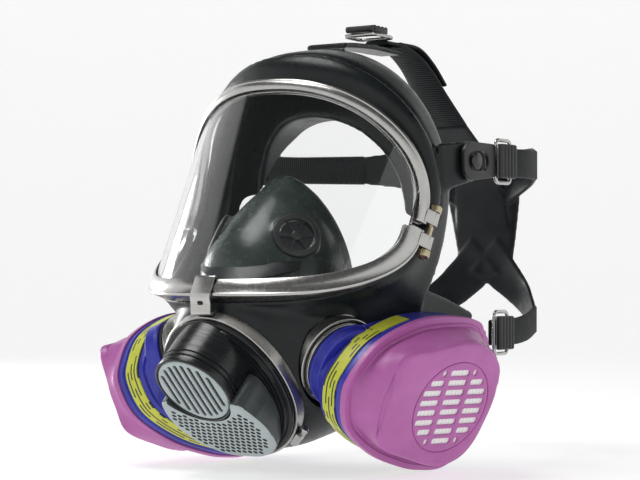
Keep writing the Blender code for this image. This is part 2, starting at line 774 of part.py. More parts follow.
def exhalation_shield():
    def skirt(grow, h):
        loop = []
        for u, v in shield_outline(grow):
            loop.append(PORT.at(1.04 * u, v - 44, h))
        return loop

    def face(grow, h):
        return [SHIELD.at(u, v, h) for u, v in shield_outline(grow)]

    shield = solid("exhalation_shield", loft([skirt(0, 3.0), face(0, -1.2), face(-1.2, 0)]), GREY, 0.45)
    cut(shield, tool("shield_hollow", loft([skirt(-3.5, 1.0), skirt(-3.5, 2.4), face(-3.5, -2.0)])))
    rear, mouth = tube_shell(TUBE_RADIUS + GAP, 8, -4)
    cut(shield, tool("shield_tube_gap", loft([rear, mouth])))
    holes = []
    pitch = 8.6
    edge = shield_outline(-3.6)
    for row in range(-9, 4):
        for column in range(-7, 8):
            u = (column + 0.5 * (row % 2)) * pitch
            v = row * pitch * 0.866 - 2
            angle = math.atan2(v + 13, u) % (2 * math.pi)
            rim = edge[round(angle / (2 * math.pi) * len(edge)) % len(edge)]
            axis_point = SHIELD.at(u, v) - TUBE.o
            off_axis = np.linalg.norm(axis_point - TUBE.h * (axis_point @ TUBE.h))
            if math.hypot(u, v + 13) < math.hypot(rim[0], rim[1] + 13) and off_axis > TUBE_RADIUS + 3:
                holes.append(disc(SHIELD, 2.0, -5, 5, 6, u, v))
    cut(shield, tool("shield_holes", merged(*holes)))


# --- side ports and filters -----------------------------------------------------------


def connector(side, end):
    band = turned(SIDE_PORT, [(22.4, -3.0), (23.6, -3.0), (23.6, 3.6), (22.4, 3.6)])
    solid("side_clamp_band_" + end, band, STEEL, 0.2, 1.0, side=side)
    worm_screw("side_clamp_screw_" + end, worm_place(), side)
    outside = [(18.5, -8), (18.5, 4.3), (21.8, 4.3), (21.8, 6.3), (18.5, 6.3), (18.5, 12)]
    profile = outside + [(16.2, 12), (16.2, -8)]
    body = solid("connector_" + end, turned(SIDE_PORT, profile), STEEL, 0.25, 1.0, side=side)
    for k, a in enumerate(turn(3)):
        outward = SIDE_PORT.at(math.cos(a), math.sin(a)) - SIDE_PORT.o
        blade = Frame(SIDE_PORT.o + 18.0 * outward, SIDE_PORT.h, outward)
        join(body, tool(f"bayonet_{k}_{end}", box(blade, (-1.0, 2.1), (-4.5, 4.5), (10.0, 11.8)), side))
    for k, a in enumerate((0.0, math.pi / 3, -math.pi / 3)):
        across = SIDE_PORT.at(math.cos(a), math.sin(a)) - SIDE_PORT.o
        bar = Frame(SIDE_PORT.o, SIDE_PORT.h, across)
        reach = 17.1 + 0.05 * k
        shape = box(bar, (-reach, reach), (-0.8, 0.8), (-7.5 + 0.1 * k, -6.1 + 0.1 * k))
        join(body, tool(f"spoke_{k}_{end}", shape, side))
    join(body, tool("spoke_hub_" + end, disc(SIDE_PORT, 3.2, -7.7, -5.6, 16), side))
    cut(body, tool("spoke_eye_" + end, disc(SIDE_PORT, 1.6, -20, 0, 12), side))
    profile = ((1.2, -3.5), (1.2, -8.2), (15.6, -8.4), (15.6, -9.0), (1.5, -9.6))
    valve = loft([SIDE_PORT.circle(r, h, 16) for r, h in profile])
    solid("inhale_valve_disc_" + end, valve, WHITE, 0.5, origin=SIDE_PORT.at(0, 0, -8.3), side=side)
    gasket = turned(SIDE_PORT, [(18.9, 6.6), (21.4, 6.6), (21.4, 8.4), (18.9, 8.4)], 24)
    solid("filter_gasket_" + end, gasket, BLACK, 0.6, side=side)


RIM_FRONT = [(47, -8), (43, 14), (30, 29), (3, 33), (-26, 31), (-55, 20), (-70, 4), (-73, -8)]
RIM_UNDER = [(-65, -25), (-40, -40), (-14, -48), (4, -51), (24, -51), (38, -43), (45, -28)]
RIM = RIM_FRONT + RIM_UNDER
RIM_CENTRE = (-13.0, -8.0)
PLATEAU_UPPER = [(31, 6), (28, 22), (14, 33), (-2, 35), (-22, 31.5), (-39, 28), (-42.5, 12)]
PLATEAU_LOWER = [(-43.5, -6), (-41, -20), (-18, -29), (5, -34), (20, -27), (28, -12)]
PLATEAU = PLATEAU_UPPER + PLATEAU_LOWER
PLATEAU_CENTRE = (-6.0, 2.0)
RIM_COUNT = 24


def rim(grow, h):
    path = smooth_path(RIM + RIM[:3], 200)
    return [FILTER.at(u, v, h) for u, v in closed_even(path, RIM_COUNT, grow, RIM_CENTRE)]


def plateau(grow, h):
    path = smooth_path(PLATEAU + PLATEAU[:3], 200)
    return [GRILLE.at(u, v, h) for u, v in closed_even(path, RIM_COUNT, grow, PLATEAU_CENTRE)]


def between(first, second, share):
    return [(1 - share) * a + share * b for a, b in zip(first, second)]


def filter_unit(side, end):
    pivot = PORT_SIDE_CENTRE
    body = solid(
        "filter_body_" + end,
        loft(
            [
                SIDE_PORT.circle(22.3, 8.7, RIM_COUNT),
                SIDE_PORT.circle(22.6, 11.0, RIM_COUNT),
                rim(-4.5, -16.5),
                rim(-2.8, -14.8),
                rim(-2.0, -3.6),
                rim(-1.0, -3.0),
                rim(-1.0, -0.3),
            ]
        ),
        BLUE,
        0.3,
        origin=pivot,
        side=side,
    )
    cut(body, tool("filter_socket_" + end, disc(SIDE_PORT, 21.0, 0, 12.8, 24), side))
    shoulder = between(rim(-5.5, 5), plateau(0, 0), 0.72)
    shoulder_inner = between(rim(-7.7, 3), plateau(-2.2, -2.2), 0.72)
    cover = solid(
        "filter_cover_" + end,
        loft([rim(0, 0), rim(0, 3.4), rim(-5.5, 4.4), shoulder, plateau(0, -1.5), plateau(-1.5, 0)]),
        MAGENTA,
        0.4,
        origin=pivot,
        side=side,
    )
    hollow = loft([rim(-7.7, -6), rim(-7.7, 2.4), shoulder_inner, plateau(-2.4, -2.2)])
    cut(cover, tool("cover_hollow_" + end, hollow, side))
    slots = []
    for row in range(8):
        v = (row - 3.5) * SLOT_PITCH_V
        chord = math.sqrt((GRILLE_RADIUS - 1.0) ** 2 - (abs(v) + SLOT_HALF_WIDTH) ** 2)
        for column in (-1, 0, 1):
            middle = column * SLOT_PITCH_U
            low, high = max(middle - SLOT_HALF_LENGTH, -chord), min(middle + SLOT_HALF_LENGTH, chord)
            if high - low > 2.5:
                slots.append(box(GRILLE, (low, high), (v - SLOT_HALF_WIDTH, v + SLOT_HALF_WIDTH), (-5, 5)))
    cut(cover, tool("cover_slots_" + end, merged(*slots), side))
    media = loft([GRILLE.circle(GRILLE_RADIUS, h, 24) for h in (-6.0, -2.6)])
    solid("filter_media_" + end, media, WHITE, 0.9, origin=pivot, side=side)
    outer_low, outer_high = rim(-1.6, -12), rim(-1.2, -4.6)
    inner_low, inner_high = rim(-2.2, -12), rim(-1.7, -4.6)
    first, last = 7, 22
    stations = [[outer_low[i], outer_high[i], inner_high[i], inner_low[i]] for i in range(first, last)]
    solid("filter_label_" + end, sweep(stations), YELLOW, 0.5, origin=pivot, side=side)


# --- nose cup -------------------------------------------------------------------------


def cup_rear(t, grow):
    c, s = math.cos(t), math.sin(t)
    half = CUP_HALF_WIDTH + grow
    x = half * c
    z = CUP_WIDEST_Z + ((CUP_TOP - CUP_WIDEST_Z if s > 0 else CUP_WIDEST_Z - CUP_BOTTOM) + grow) * s
    y = CUP_TOP_Y + 17 * (x / CUP_HALF_WIDTH) ** 2
    return np.array([x, y, z])


CUP_PROFILE = [(0, 0), (0.12, 0.4), (0.25, 0.68), (0.42, 0.93), (0.6, 1), (0.85, 0.6), (1, 0)]


def cup_loop(share, grow, less=0.0, count=20):
    """A loop of the nose cup from the face, share 0, to the front port, share 1."""
    bulge = max(0.0, CUP_BULGE * np.interp(share, *zip(*CUP_PROFILE)) - less)
    swell = CUP_SWELL * math.sin(math.pi * share) ** 0.8
    loop = []
    for t in turn(count):
        c, s = math.cos(t), math.sin(t)
        up = max(0.0, s)
        front = PORT.at((21 + grow) * c, -38 + (25 + grow) * s, -14)
        p = (1 - share) * cup_rear(t, grow) + share * front
        p[0] += c * (swell + 0.25 * up * bulge)
        p += bulge * up * np.array([0, -0.86, 0.5])
        loop.append(p)
    return loop


def nose_cup():
    shares = (0, 0.12, 0.25, 0.42, 0.6, 0.85, 1)
    cup = solid("nose_cup", loft([cup_loop(share, 0) for share in shares]), CUP_GREEN, 0.35)
    rear = [[p + np.array([0, 8.0, 0]) for p in cup_loop(0, -2.2)]]
    front = [[p + PORT.h * 8 for p in cup_loop(1, -2.2)]]
    inner = loft(rear + [cup_loop(share, -2.2, 1.2) for share in shares] + front)
    for side, end in ((1, "left"), (-1, "right")):
        join(cup, tool("cup_boss_" + end, disc(CUP_VALVE, 13.0, -16, 0), side))
    cut(cup, tool("cup_cavity", inner))
    for side, end in ((1, "left"), (-1, "right")):
        cut(cup, tool("cup_pad_face_" + end, disc(CUP_VALVE, 13.4, 0.1, 9.0), side))
        cut(cup, tool("cup_hole_" + end, disc(CUP_VALVE, 9.4, -30, 6), side))
        ring = turned(CUP_VALVE, [(12.6, 0.3), (12.6, 2.0), (9.6, 2.6), (9.0, 0.3)])
        seat = solid("cup_valve_seat_" + end, ring, BLACK, 0.35, side=side)
        for k, a in enumerate((0.0, math.pi / 3, -math.pi / 3)):
            bar = Frame(CUP_VALVE.o, CUP_VALVE.h, CUP_VALVE.at(math.cos(a), math.sin(a)) - CUP_VALVE.o)
            reach = 9.9 + 0.05 * k
            shape = box(bar, (-reach, reach), (-0.7, 0.7), (0.6 + 0.1 * k, 1.4 + 0.1 * k))
            join(seat, tool(f"cup_spoke_{k}_{end}", shape, side))
        join(seat, tool("cup_hub_" + end, disc(CUP_VALVE, 2.8, 0.45, 2.0, 16), side))
        flap = loft([CUP_VALVE.circle(r, h, 16) for r, h in ((9.0, -0.1), (9.0, -0.7), (2.0, -1.2))])
        solid("cup_valve_disc_" + end, flap, BLACK, 0.5, origin=CUP_VALVE.at(0, 0, -0.4), side=side)


# --- harness --------------------------------------------------------------------------

FOREHEAD_STRAP = [(0, 52, 84.0), (0, 70, 82.0), (0, 88, 73), (0, 105.6, 56.3), (0, 122, 41)]
FOREHEAD_STRAP += [(0, 140, 24), (0, 154, 4), (0, 160, -20)]
FOREHEAD_TAIL = [(0, 66, 84.0), (0, 84, 82.5), (0, 98, 74.5), (0, 110, 63.5)]
TEMPLE_STRAP = [(0, 159, 6), (22, 155.5, 12), (43, 143, 16), (61, 121, 16)]
TEMPLE_STRAP += [(71.5, 98, 15.5), (77, 76, 15), (78.6, 50, 15)]
NECK_STRAP = [(0, 160, -34), (13, 161, -46), (30, 157, -60), (49, 139, -72)]
NECK_STRAP += [(58.5, 115, -76), (63.5, 92, -78), (66.5, 66, -78)]
WAIST = [(0, 153, 22), (0, 158, 4), (0, 160.5, -20), (0, 161, -46)]


def head_harness():
    def strap(path, outward, width, end_width, count=12, thickness=STRAP_THICKNESS):
        return sweep(ribbon(smooth_path(path, count), outward, width, thickness, end_width))

    over_crown = [(0, 0, 1), (0, 0.7, 0.7), (0, 1, 0)]
    harness = solid("head_harness", strap(FOREHEAD_STRAP, over_crown, 16, 34, 16), RUBBER, 0.45)
    join(harness, tool("waist", strap(WAIST, [(0, 1, 0.2), (0, 1, 0)], 60, 36, 6, 2.4)))
    join(harness, tool("forehead_tail", strap(FOREHEAD_TAIL, [(0, 0.1, 1), (0, 0.7, 0.7)], 15, 15, 6)))
    turned_out = [(0, 1, 0), (0.9, 0.6, 0), (1, 0.05, 0)]
    for side, end in ((1, "left"), (-1, "right")):
        join(harness, tool("temple_strap_" + end, strap(TEMPLE_STRAP, turned_out, 30, 15, 16, 2.3), side))
        join(harness, tool("neck_strap_" + end, strap(NECK_STRAP, turned_out, 24, 14, 16, 2.1), side))


def buckle(name, centre, along, outward, side=1):
    """A wire loop on the lug and a serrated clamping lever over it; u runs across the strap, v along."""
    across = np.cross(along, outward)
    local = Frame(centre, outward, across)
    half_u, half_v, wire = 11.5, 8.0, 1.0
    corners = []
    for cu, cv, start in ((1, 1, 0), (-1, 1, 90), (-1, -1, 180), (1, -1, 270)):
        for step in range(4):
            a = math.radians(start + 30 * step)
            corners.append((cu * (half_u - 3), cv * (half_v - 3), a))
    stations = []
    for u, v, a in corners:
        ring = []
        for b in turn(6):
            reach = 3 + wire * math.cos(b)
            ring.append(local.at(u + reach * math.cos(a), v + reach * math.sin(a), wire * math.sin(b)))
        stations.append(ring)
    solid("buckle_frame_" + name, wall(stations), STEEL, 0.25, 1.0, side=side)
    pivot = local.at(0, -half_v, 3.4)
    plate = box(local, (-9.0, 9.0), (-half_v + 0.5, 5.5), (2.6, 4.4))
    lever = solid("buckle_lever_" + name, plate, BLACK, 0.4, origin=pivot, side=side)
    for k, v in enumerate((-5.5, -1.8, 1.9)):
        rib = Frame(local.at(0, v, 4.6), local.u, local.v)
        ridge = loft([rib.circle(1.5, h, 10) for h in (-8.6, 8.6)])
        join(lever, tool(f"lever_rib_{k}_{name}", ridge, side))
    barrel = Frame(pivot, local.u, local.v)
    join(lever, tool("lever_barrel_" + name, disc(barrel, 1.8, -9.0, 9.0, 12), side))


def buckles():
    buckle("forehead", (0, 44, 86.6), (0, 1, -0.06), (0, 0.06, 1))
    for side, end in ((1, "left"), (-1, "right")):
        buckle("temple_" + end, (81.8, 56, 15.0), (-0.08, 1, 0), (1, 0.08, 0), side)
        buckle("neck_" + end, (69.6, 72, -78.0), (-0.12, 1, 0), (1, 0.12, 0), side)
        tab_frame = Frame((82.0, 30, 14.4), (1, 0, 0), (0, 1, 0.04))
        outline = [(-14, -6), (-14, 6), (-9, 10.5), (14, 9), (16, 8), (16, -8), (14, -9), (-9, -10.5)]
        tab = solid("temple_tab_" + end, prism(tab_frame, outline, 0.0, 2.4), BLACK, 0.4, side=side)
        hole = []
        for a in turn(14):
            u = math.cos(a)
            hole.append((u * 5.2 + (3.5 if u > 0 else -3.5), 5.2 * math.sin(a)))
        cut(tab, tool("tab_hole_" + end, prism(tab_frame, hole, -3, 6), side))
        stud_frame = Frame((82.0, 26.0, 14.2), (1, 0, 0), (0, 1, 0))
        profile = ((3.0, 0.4), (3.0, 2.5), (4.6, 2.9), (4.4, 4.0), (2.6, 4.9))
        shape = loft([stud_frame.circle(r, h, 14) for r, h in profile])
        solid("temple_stud_" + end, shape, STEEL, 0.35, 1.0, side=side)


def main():
    clear_scene()
    face_blank()
    visor_lens()
    visor_frame()
    frame_screws()
    centre_clip()
    port_clamp()
    exhalation_housing()
    speech_grille()
    exhalation_valve()
    exhalation_shield()
    for side, end in ((1, "left"), (-1, "right")):
        connector(side, end)
        filter_unit(side, end)
    nose_cup()
    head_harness()
    buckles()


main()
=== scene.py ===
"""Looks of the full-face respirator: finished meshes, materials, light and camera.

Lengths are in millimetres until MM scales them to metres. +Z is up, -Y is the way
the wearer looks and +X is the wearer's left. The driving dimensions are the CAD's.
"""

import json
import math

import bmesh
import bpy
import numpy as np
from mathutils import Matrix, Vector


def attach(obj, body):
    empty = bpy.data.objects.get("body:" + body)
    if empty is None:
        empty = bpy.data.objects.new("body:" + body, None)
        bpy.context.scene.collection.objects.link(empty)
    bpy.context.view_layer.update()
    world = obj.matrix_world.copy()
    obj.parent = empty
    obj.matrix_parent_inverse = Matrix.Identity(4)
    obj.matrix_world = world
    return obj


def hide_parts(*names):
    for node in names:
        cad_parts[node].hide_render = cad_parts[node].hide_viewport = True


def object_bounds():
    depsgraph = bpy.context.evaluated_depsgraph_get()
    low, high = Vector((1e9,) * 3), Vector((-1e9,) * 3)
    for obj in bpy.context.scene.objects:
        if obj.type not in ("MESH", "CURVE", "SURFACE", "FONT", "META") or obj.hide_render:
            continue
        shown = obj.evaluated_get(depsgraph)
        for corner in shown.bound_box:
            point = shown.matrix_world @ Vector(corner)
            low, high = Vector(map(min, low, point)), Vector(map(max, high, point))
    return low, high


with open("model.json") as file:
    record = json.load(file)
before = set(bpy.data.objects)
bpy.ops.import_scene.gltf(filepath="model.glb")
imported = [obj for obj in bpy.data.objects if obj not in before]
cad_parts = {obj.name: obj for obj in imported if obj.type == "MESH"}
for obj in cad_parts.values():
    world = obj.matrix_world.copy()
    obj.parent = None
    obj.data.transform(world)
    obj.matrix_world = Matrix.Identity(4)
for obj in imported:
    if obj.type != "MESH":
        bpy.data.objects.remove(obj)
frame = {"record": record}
cad_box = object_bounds()

MM = 0.001
BODY = {n: body for body, nodes in frame["record"]["behaviour"]["bodies"].items() for n in nodes}

# Visor.
VISOR_HALF_WIDTH = 82.3
VISOR_TOP = 57.1
VISOR_BOTTOM = -57.5
VISOR_WIDEST_Z = -22.1
VISOR_TOP_Y = -43.2
VISOR_LEAN = 0.4712
VISOR_CURVE_HALF_WIDTH = 88.1
VISOR_CURVE_DEPTH = 97.0
VISOR_STEPS = 1200
LENS_THICKNESS = 2.5
FRAME_WIDTH_UPPER = 6.5
FRAME_WIDTH_LOWER = 10.0
FRAME_FRONT = 1.6
HALF_JOINT_GAP = 1.6

# Face blank.
WALL = 3.0
SEAL_HALF_WIDTH = 75.0
SEAL_TOP = 76.0
SEAL_BOTTOM = -122.0
SEAL_MIDDLE = -20.0
SEAL_HEIGHTS = [-125, -55, 0, 40, 80]
SEAL_DEPTHS = [-22, -12, 0, 3, 6]
SEAL_WRAP = 17
SEAL_STEPS = 400
JAW_TUCK = 9.0
LIP_HALF_WIDTH = 49.0
LIP_TOP = 38.0
LIP_MIDDLE = -15.0
LIP_BOTTOM = -104.0
LIP_Y = 8.0
LIP_CURVE = 19.0
UPPER_COUNT = 96
LOWER_COUNT = 84
COLLAR_WIDTH = 11.0
COLLAR_HEIGHT = 1.9
COLLAR_GROOVE = 1.3

# Front port.
PORT_HALF_WIDTH = 41.5
PORT_WIDEST = 47.0
PORT_ABOVE = 47.0
PORT_BELOW = 37.5
PORT_SCREW_ANGLE = math.radians(-42)
PORT_COUNT = 120
TUBE_TILT = math.radians(43)
TUBE_RADIUS = 22.3
SPEECH_SLOTS = 8
SPEECH_SLOT_PITCH = 4.3
SPEECH_SLOT_REACH = 18.3
EXHALE_VALVE_DROP = -62.8

# Side ports and filters, given for the wearer's left.
PORT_SIDE_RADIUS = 23.6
GRILLE_RADIUS = 25.1
SLOT_PITCH_U = 15.7
SLOT_PITCH_V = 5.42
SLOT_HALF_LENGTH = 6.6
SLOT_HALF_WIDTH = 1.75
SLOT_CORNER = 1.1
SLOT_LEAST_LENGTH = 2.5

# Nose cup.
CUP_HALF_WIDTH = 30.0
CUP_SWELL = 15.0
CUP_BULGE = 16.0
CUP_TOP = 5.0
CUP_BOTTOM = -100.0
CUP_WIDEST_Z = -54.0
CUP_TOP_Y = -31.0
CUP_WRAP = 17

# Harness.
STRAP_THICKNESS = 2.2
RIB_PITCH = 1.7
RIB_HEIGHT = 0.35


class Frame:
    """A local frame: u across, v up and h along the axis."""

    def __init__(self, origin, axis, across=None):
        self.o = np.array(origin, float)
        self.h = np.array(axis, float) / np.linalg.norm(axis)
        if across is None:
            across = np.cross([0.0, 0.0, 1.0], self.h)
        self.u = np.array(across, float)
        self.u -= self.h * (self.u @ self.h)
        self.u /= np.linalg.norm(self.u)
        self.v = np.cross(self.h, self.u)

    def at(self, u, v, h=0.0):
        return self.o + u * self.u + v * self.v + h * self.h

    def circle(self, radius, h=0.0, count=96, u=0.0, v=0.0):
        return [self.at(u + radius * math.cos(a), v + radius * math.sin(a), h) for a in turn(count)]

    def off_axis(self, point):
        """How far a point lies from the frame's axis."""
        gap = point - self.o
        return np.linalg.norm(gap - self.h * (gap @ self.h))

    def spun(self, angle):
        """The same frame with u swung round the axis."""
        return Frame(self.o, self.h, self.at(math.cos(angle), math.sin(angle)) - self.o)


def leaning(origin, tilt):
    """A frame that looks forward and down, with u to the wearer's left."""
    return Frame(origin, (0, -math.cos(tilt), -math.sin(tilt)), (1, 0, 0))


def turn(count):
    return [2 * math.pi * i / count for i in range(count)]


# --- shapes ---------------------------------------------------------------------------


def loft(loops, ring=False):
    """A solid through closed loops of equal length, with a face at each end or closed into a ring."""
    count = len(loops[0])
    points = [p for loop in loops for p in loop]
    faces = []
    for k in range(len(loops) if ring else len(loops) - 1):
        first, second = k * count, (k + 1) % len(loops) * count
        for i in range(count):
            j = (i + 1) % count
            faces.append((first + i, first + j, second + j, second + i))
    if not ring:
        faces += [tuple(range(count)), tuple(range(len(points) - count, len(points)))]
    return points, faces


def turned(local, profile, count=96):
    """A ring turned about the frame's axis from a closed profile of (radius, height)."""
    return loft([local.circle(r, h, count) for r, h in profile], True)


def spindle(local, profile, count=96):
    """A solid through circles of (radius, height) on the frame's axis."""
    return loft([local.circle(r, h, count) for r, h in profile])


def disc(local, radius, low, high, count=96, u=0.0, v=0.0):
    return loft([local.circle(radius, h, count, u, v) for h in (low, high)])


def prism(local, outline, low, high):
    return loft([[local.at(a, b, h) for a, b in outline] for h in (low, high)])


def box(local, u, v, h):
    """A block between pairs of local coordinates."""
    return prism(local, [(u[0], v[0]), (u[1], v[0]), (u[1], v[1]), (u[0], v[1])], h[0], h[1])


def spokes(local, reach, half, low, high, step=0.0):
    """Three bars across the axis; each can lie a step higher than the last."""
    angles = (0.0, math.pi / 3, -math.pi / 3)
    bars = enumerate(local.spun(a) for a in angles)
    return [box(b, (-reach, reach), (-half, half), (low + step * k, high + step * k)) for k, b in bars]


def stadium(u, v, half_length, radius):
    """A slot's outline, long along u, with round ends of eight steps each."""
    out = []
    reach = half_length - radius
    for middle, start in ((reach, -0.5), (-reach, 0.5)):
        for i in range(9):
            a = math.pi * (start + i / 8)
            out.append((u + middle + radius * math.cos(a), v + radius * math.sin(a)))
    return out


def merged(*shapes):
    """Several closed shapes in one mesh."""
    points, faces = [], []
    for more, shape_faces in shapes:
        start = len(points)
        points += list(more)
        faces += [tuple(start + i for i in face) for face in shape_faces]
    return points, faces


def even(path, count):
    """The path sampled again at equal distances."""
    run = np.concatenate([[0], np.cumsum(np.linalg.norm(np.diff(path, axis=0), axis=1))])
    stops = np.linspace(0, run[-1], count)
    return np.stack([np.interp(stops, run, path[:, k]) for k in range(path.shape[1])], axis=1)


def smooth_path(points, count):
    """Points evenly spaced along a Catmull-Rom curve through the given ones."""
    p = np.array(points, float)
    p = np.vstack([2 * p[0] - p[1], p, 2 * p[-1] - p[-2]])
    fine = []
    for i in range(1, len(p) - 2):
        for t in np.linspace(0, 1, 24, endpoint=False):
            a, b, c, d = p[i - 1 : i + 3]
            bend = (2 * a - 5 * b + 4 * c - d) * t**2 + (3 * b - a - 3 * c + d) * t**3
            fine.append(0.5 * (2 * b + (c - a) * t + bend))
    fine.append(p[-2])
    return even(np.array(fine), count)


def ease(low, high, value):
    """0 below low, 1 above high, and smooth between."""
    t = min(1.0, max(0.0, (value - low) / (high - low)))
    return t * t * (3 - 2 * t)


# --- pieces ---------------------------------------------------------------------------


def placed(name, data):
    """A new object in the scene."""
    obj = bpy.data.objects.new(name, data)
    bpy.context.scene.collection.objects.link(obj)
    return obj


def mesh_object(name, shape):
    points, faces = shape
    mesh = bpy.data.meshes.new(name)
    mesh.from_pydata([tuple(Vector(p) * MM) for p in points], [], faces)
    work = bmesh.new()
    work.from_mesh(mesh)
    bmesh.ops.recalc_face_normals(work, faces=work.faces)
    work.to_mesh(mesh)
    work.free()
    return placed(name, mesh)


def modifier(obj, kind, **settings):
    step = obj.modifiers.new(kind.lower(), kind)
    for key, value in settings.items():
        setattr(step, key, value)


def applied(obj):
    """The object with its modifiers worked into its mesh."""
    graph = bpy.context.evaluated_depsgraph_get()
    mesh = bpy.data.meshes.new_from_object(obj.evaluated_get(graph))
    obj.modifiers.clear()
    obj.data = mesh
    return obj


def carved(obj, *shapes):
    """Cuts shapes, or objects, out of obj."""
    for shape in shapes:
        cutter = shape if isinstance(shape, bpy.types.Object) else mesh_object("cutter", shape)
        modifier(obj, "BOOLEAN", operation="DIFFERENCE", solver="EXACT", object=cutter)
        applied(obj)
        bpy.data.objects.remove(cutter, do_unlink=True)
    return obj


def bevelled(obj, width, segments=2, angle=40):
    limit = math.radians(angle)
    modifier(obj, "BEVEL", width=width * MM, segments=segments, limit_method="ANGLE", angle_limit=limit)
    return applied(obj)


def remeshed(obj, voxel, rounds):
    """Fuses a mesh's closed shapes into one skin and rounds where they meet."""
    modifier(obj, "REMESH", mode="VOXEL", voxel_size=voxel * MM)
    modifier(obj, "SMOOTH", factor=0.5, iterations=rounds)
    return applied(obj)


def dressed(obj, finish, node, sharp=35):
    """obj takes its finish and stands for a CAD node."""
    obj.data.materials.clear()
    obj.data.materials.append(FINISHES[finish])
    obj.data.shade_smooth()
    obj.data.set_sharp_from_angle(angle=math.radians(sharp))
    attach(obj, BODY[node])
    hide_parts(node)


def pair(obj, finish, stem, sharp=35):
    """The left piece, and its mirror image for the right."""
    name = obj.name
    right = placed(name + "_right", obj.data.copy())
    right.data.transform(Matrix.Diagonal((-1, 1, 1, 1)))
    right.data.flip_normals()
    obj.name = name + "_left"
    dressed(obj, finish, stem + "_left", sharp)
    dressed(right, finish, stem + "_right", sharp)


# --- materials ------------------------------------------------------------------------


class Nodes:
    """A material's node tree, with short ways to add and link nodes."""

    def __init__(self, name):
        self.material = bpy.data.materials.new(name)
        self.material.use_nodes = True
        self.tree = self.material.node_tree
        self.shader = self.tree.nodes["Principled BSDF"]
        self.place = self.add("ShaderNodeTexCoord").outputs["Object"]

    def put(self, socket, value):
        """A socket takes another node's output, a colour or a plain value."""
        if isinstance(value, bpy.types.NodeSocket):
            self.tree.links.new(value, socket)
        elif socket.type == "RGBA":
            socket.default_value = (*value, 1)
        else:
            socket.default_value = value

    def add(self, kind, inputs=None, **settings):
        node = self.tree.nodes.new(kind)
        for key, value in settings.items():
            setattr(node, key, value)
        for key, value in (inputs or {}).items():
            self.put(node.inputs[key], value)
        return node

    def shade(self, **inputs):
        for key, value in inputs.items():
            self.put(self.shader.inputs[key.replace("_", " ")], value)

    def noise(self, scale, detail=3.0, stretch=(1, 1, 1), rough=0.55, lean=0.0, kind="POINT"):
        """Noise with features about 1/scale metres across."""
        mapping = {"Vector": self.place, "Rotation": (lean, 0, 0), "Scale": stretch}
        spread = self.add("ShaderNodeMapping", mapping, vector_type=kind).outputs["Vector"]
        waves = {"Vector": spread, "Scale": scale, "Detail": detail, "Roughness": rough}
        return self.add("ShaderNodeTexNoise", waves).outputs["Fac"]

    def span(self, value, low, high):
        """The middle of a noise's range spread between low and high."""
        ends = {"Value": value, "From Min": 0.3, "From Max": 0.7, "To Min": low, "To Max": high}
        return self.add("ShaderNodeMapRange", ends).outputs["Result"]

    def mix(self, share, first, second):
        return self.add("ShaderNodeMix", {0: share, 6: first, 7: second}, data_type="RGBA").outputs[2]

    def tones(self, scale, first, second):
        """Patches of two close tones."""
        return self.mix(self.span(self.noise(scale), 0, 1), first, second)

    def bump(self, height, depth):
        """Relief whose full height is depth, in millimetres."""
        relief = self.add("ShaderNodeBump", {"Height": height, "Distance": depth * MM})
        self.shade(Normal=relief.outputs["Normal"])


def surface(name, dark, light, rough, grain, relief, patches=70, stretch=(1, 1, 1), **constant):
    """A finish: two close tones in patches, uneven roughness and a fine grained relief."""
    n = Nodes(name)
    n.shade(Base_Color=n.tones(patches, dark, light), Roughness=n.span(n.noise(patches * 4, 4), *rough))
    n.shade(**constant)
    n.bump(n.noise(grain, 2, stretch), relief)
    return n.material


def lens_finish():
    """Clear polycarbonate that lets lamps through, with faint smears in its gloss."""
    n = Nodes("lens_polycarbonate")
    n.shade(Base_Color=n.tones(20, (0.97, 0.985, 0.985), (0.99, 0.995, 0.995)))
    n.shade(Roughness=n.span(n.noise(35, 5), 0.004, 0.03), Transmission_Weight=1.0, IOR=1.45)
    shadow = n.add("ShaderNodeLightPath").outputs["Is Shadow Ray"]
    clear = n.add("ShaderNodeBsdfTransparent").outputs["BSDF"]
    mix = n.add("ShaderNodeMixShader", {0: shadow, 1: n.shader.outputs["BSDF"], 2: clear})
    n.put(n.tree.nodes["Material Output"].inputs["Surface"], mix.outputs["Shader"])
    return n.material


def media_finish():
    """White pleated fibre seen behind the filter's slots."""
    n = Nodes("filter_fibre")
    waves = {"Vector": n.place, "Scale": 130, "Distortion": 0.6}
    pleats = n.add("ShaderNodeTexWave", waves, wave_type="BANDS", bands_direction="Y").outputs["Fac"]
    # The fibre's white darkens in bands along the pleats: painted shade in the pleat folds, on top of the
    # pleats' real relief.
    n.shade(Base_Color=n.mix(pleats, (0.78, 0.78, 0.76), (0.93, 0.93, 0.91)))
    n.shade(Roughness=n.span(n.noise(900), 0.8, 0.95))
    n.bump(pleats, 0.2)
    return n.material


# The label's print: rows of dashes, cells round the band, and the clear margin at its ends.
LABEL_ROWS = 4.0
LABEL_ROW_HEIGHT = 0.42
LABEL_CELLS = 46.0
LABEL_GAPS = 0.38
LABEL_MARGIN = 0.14


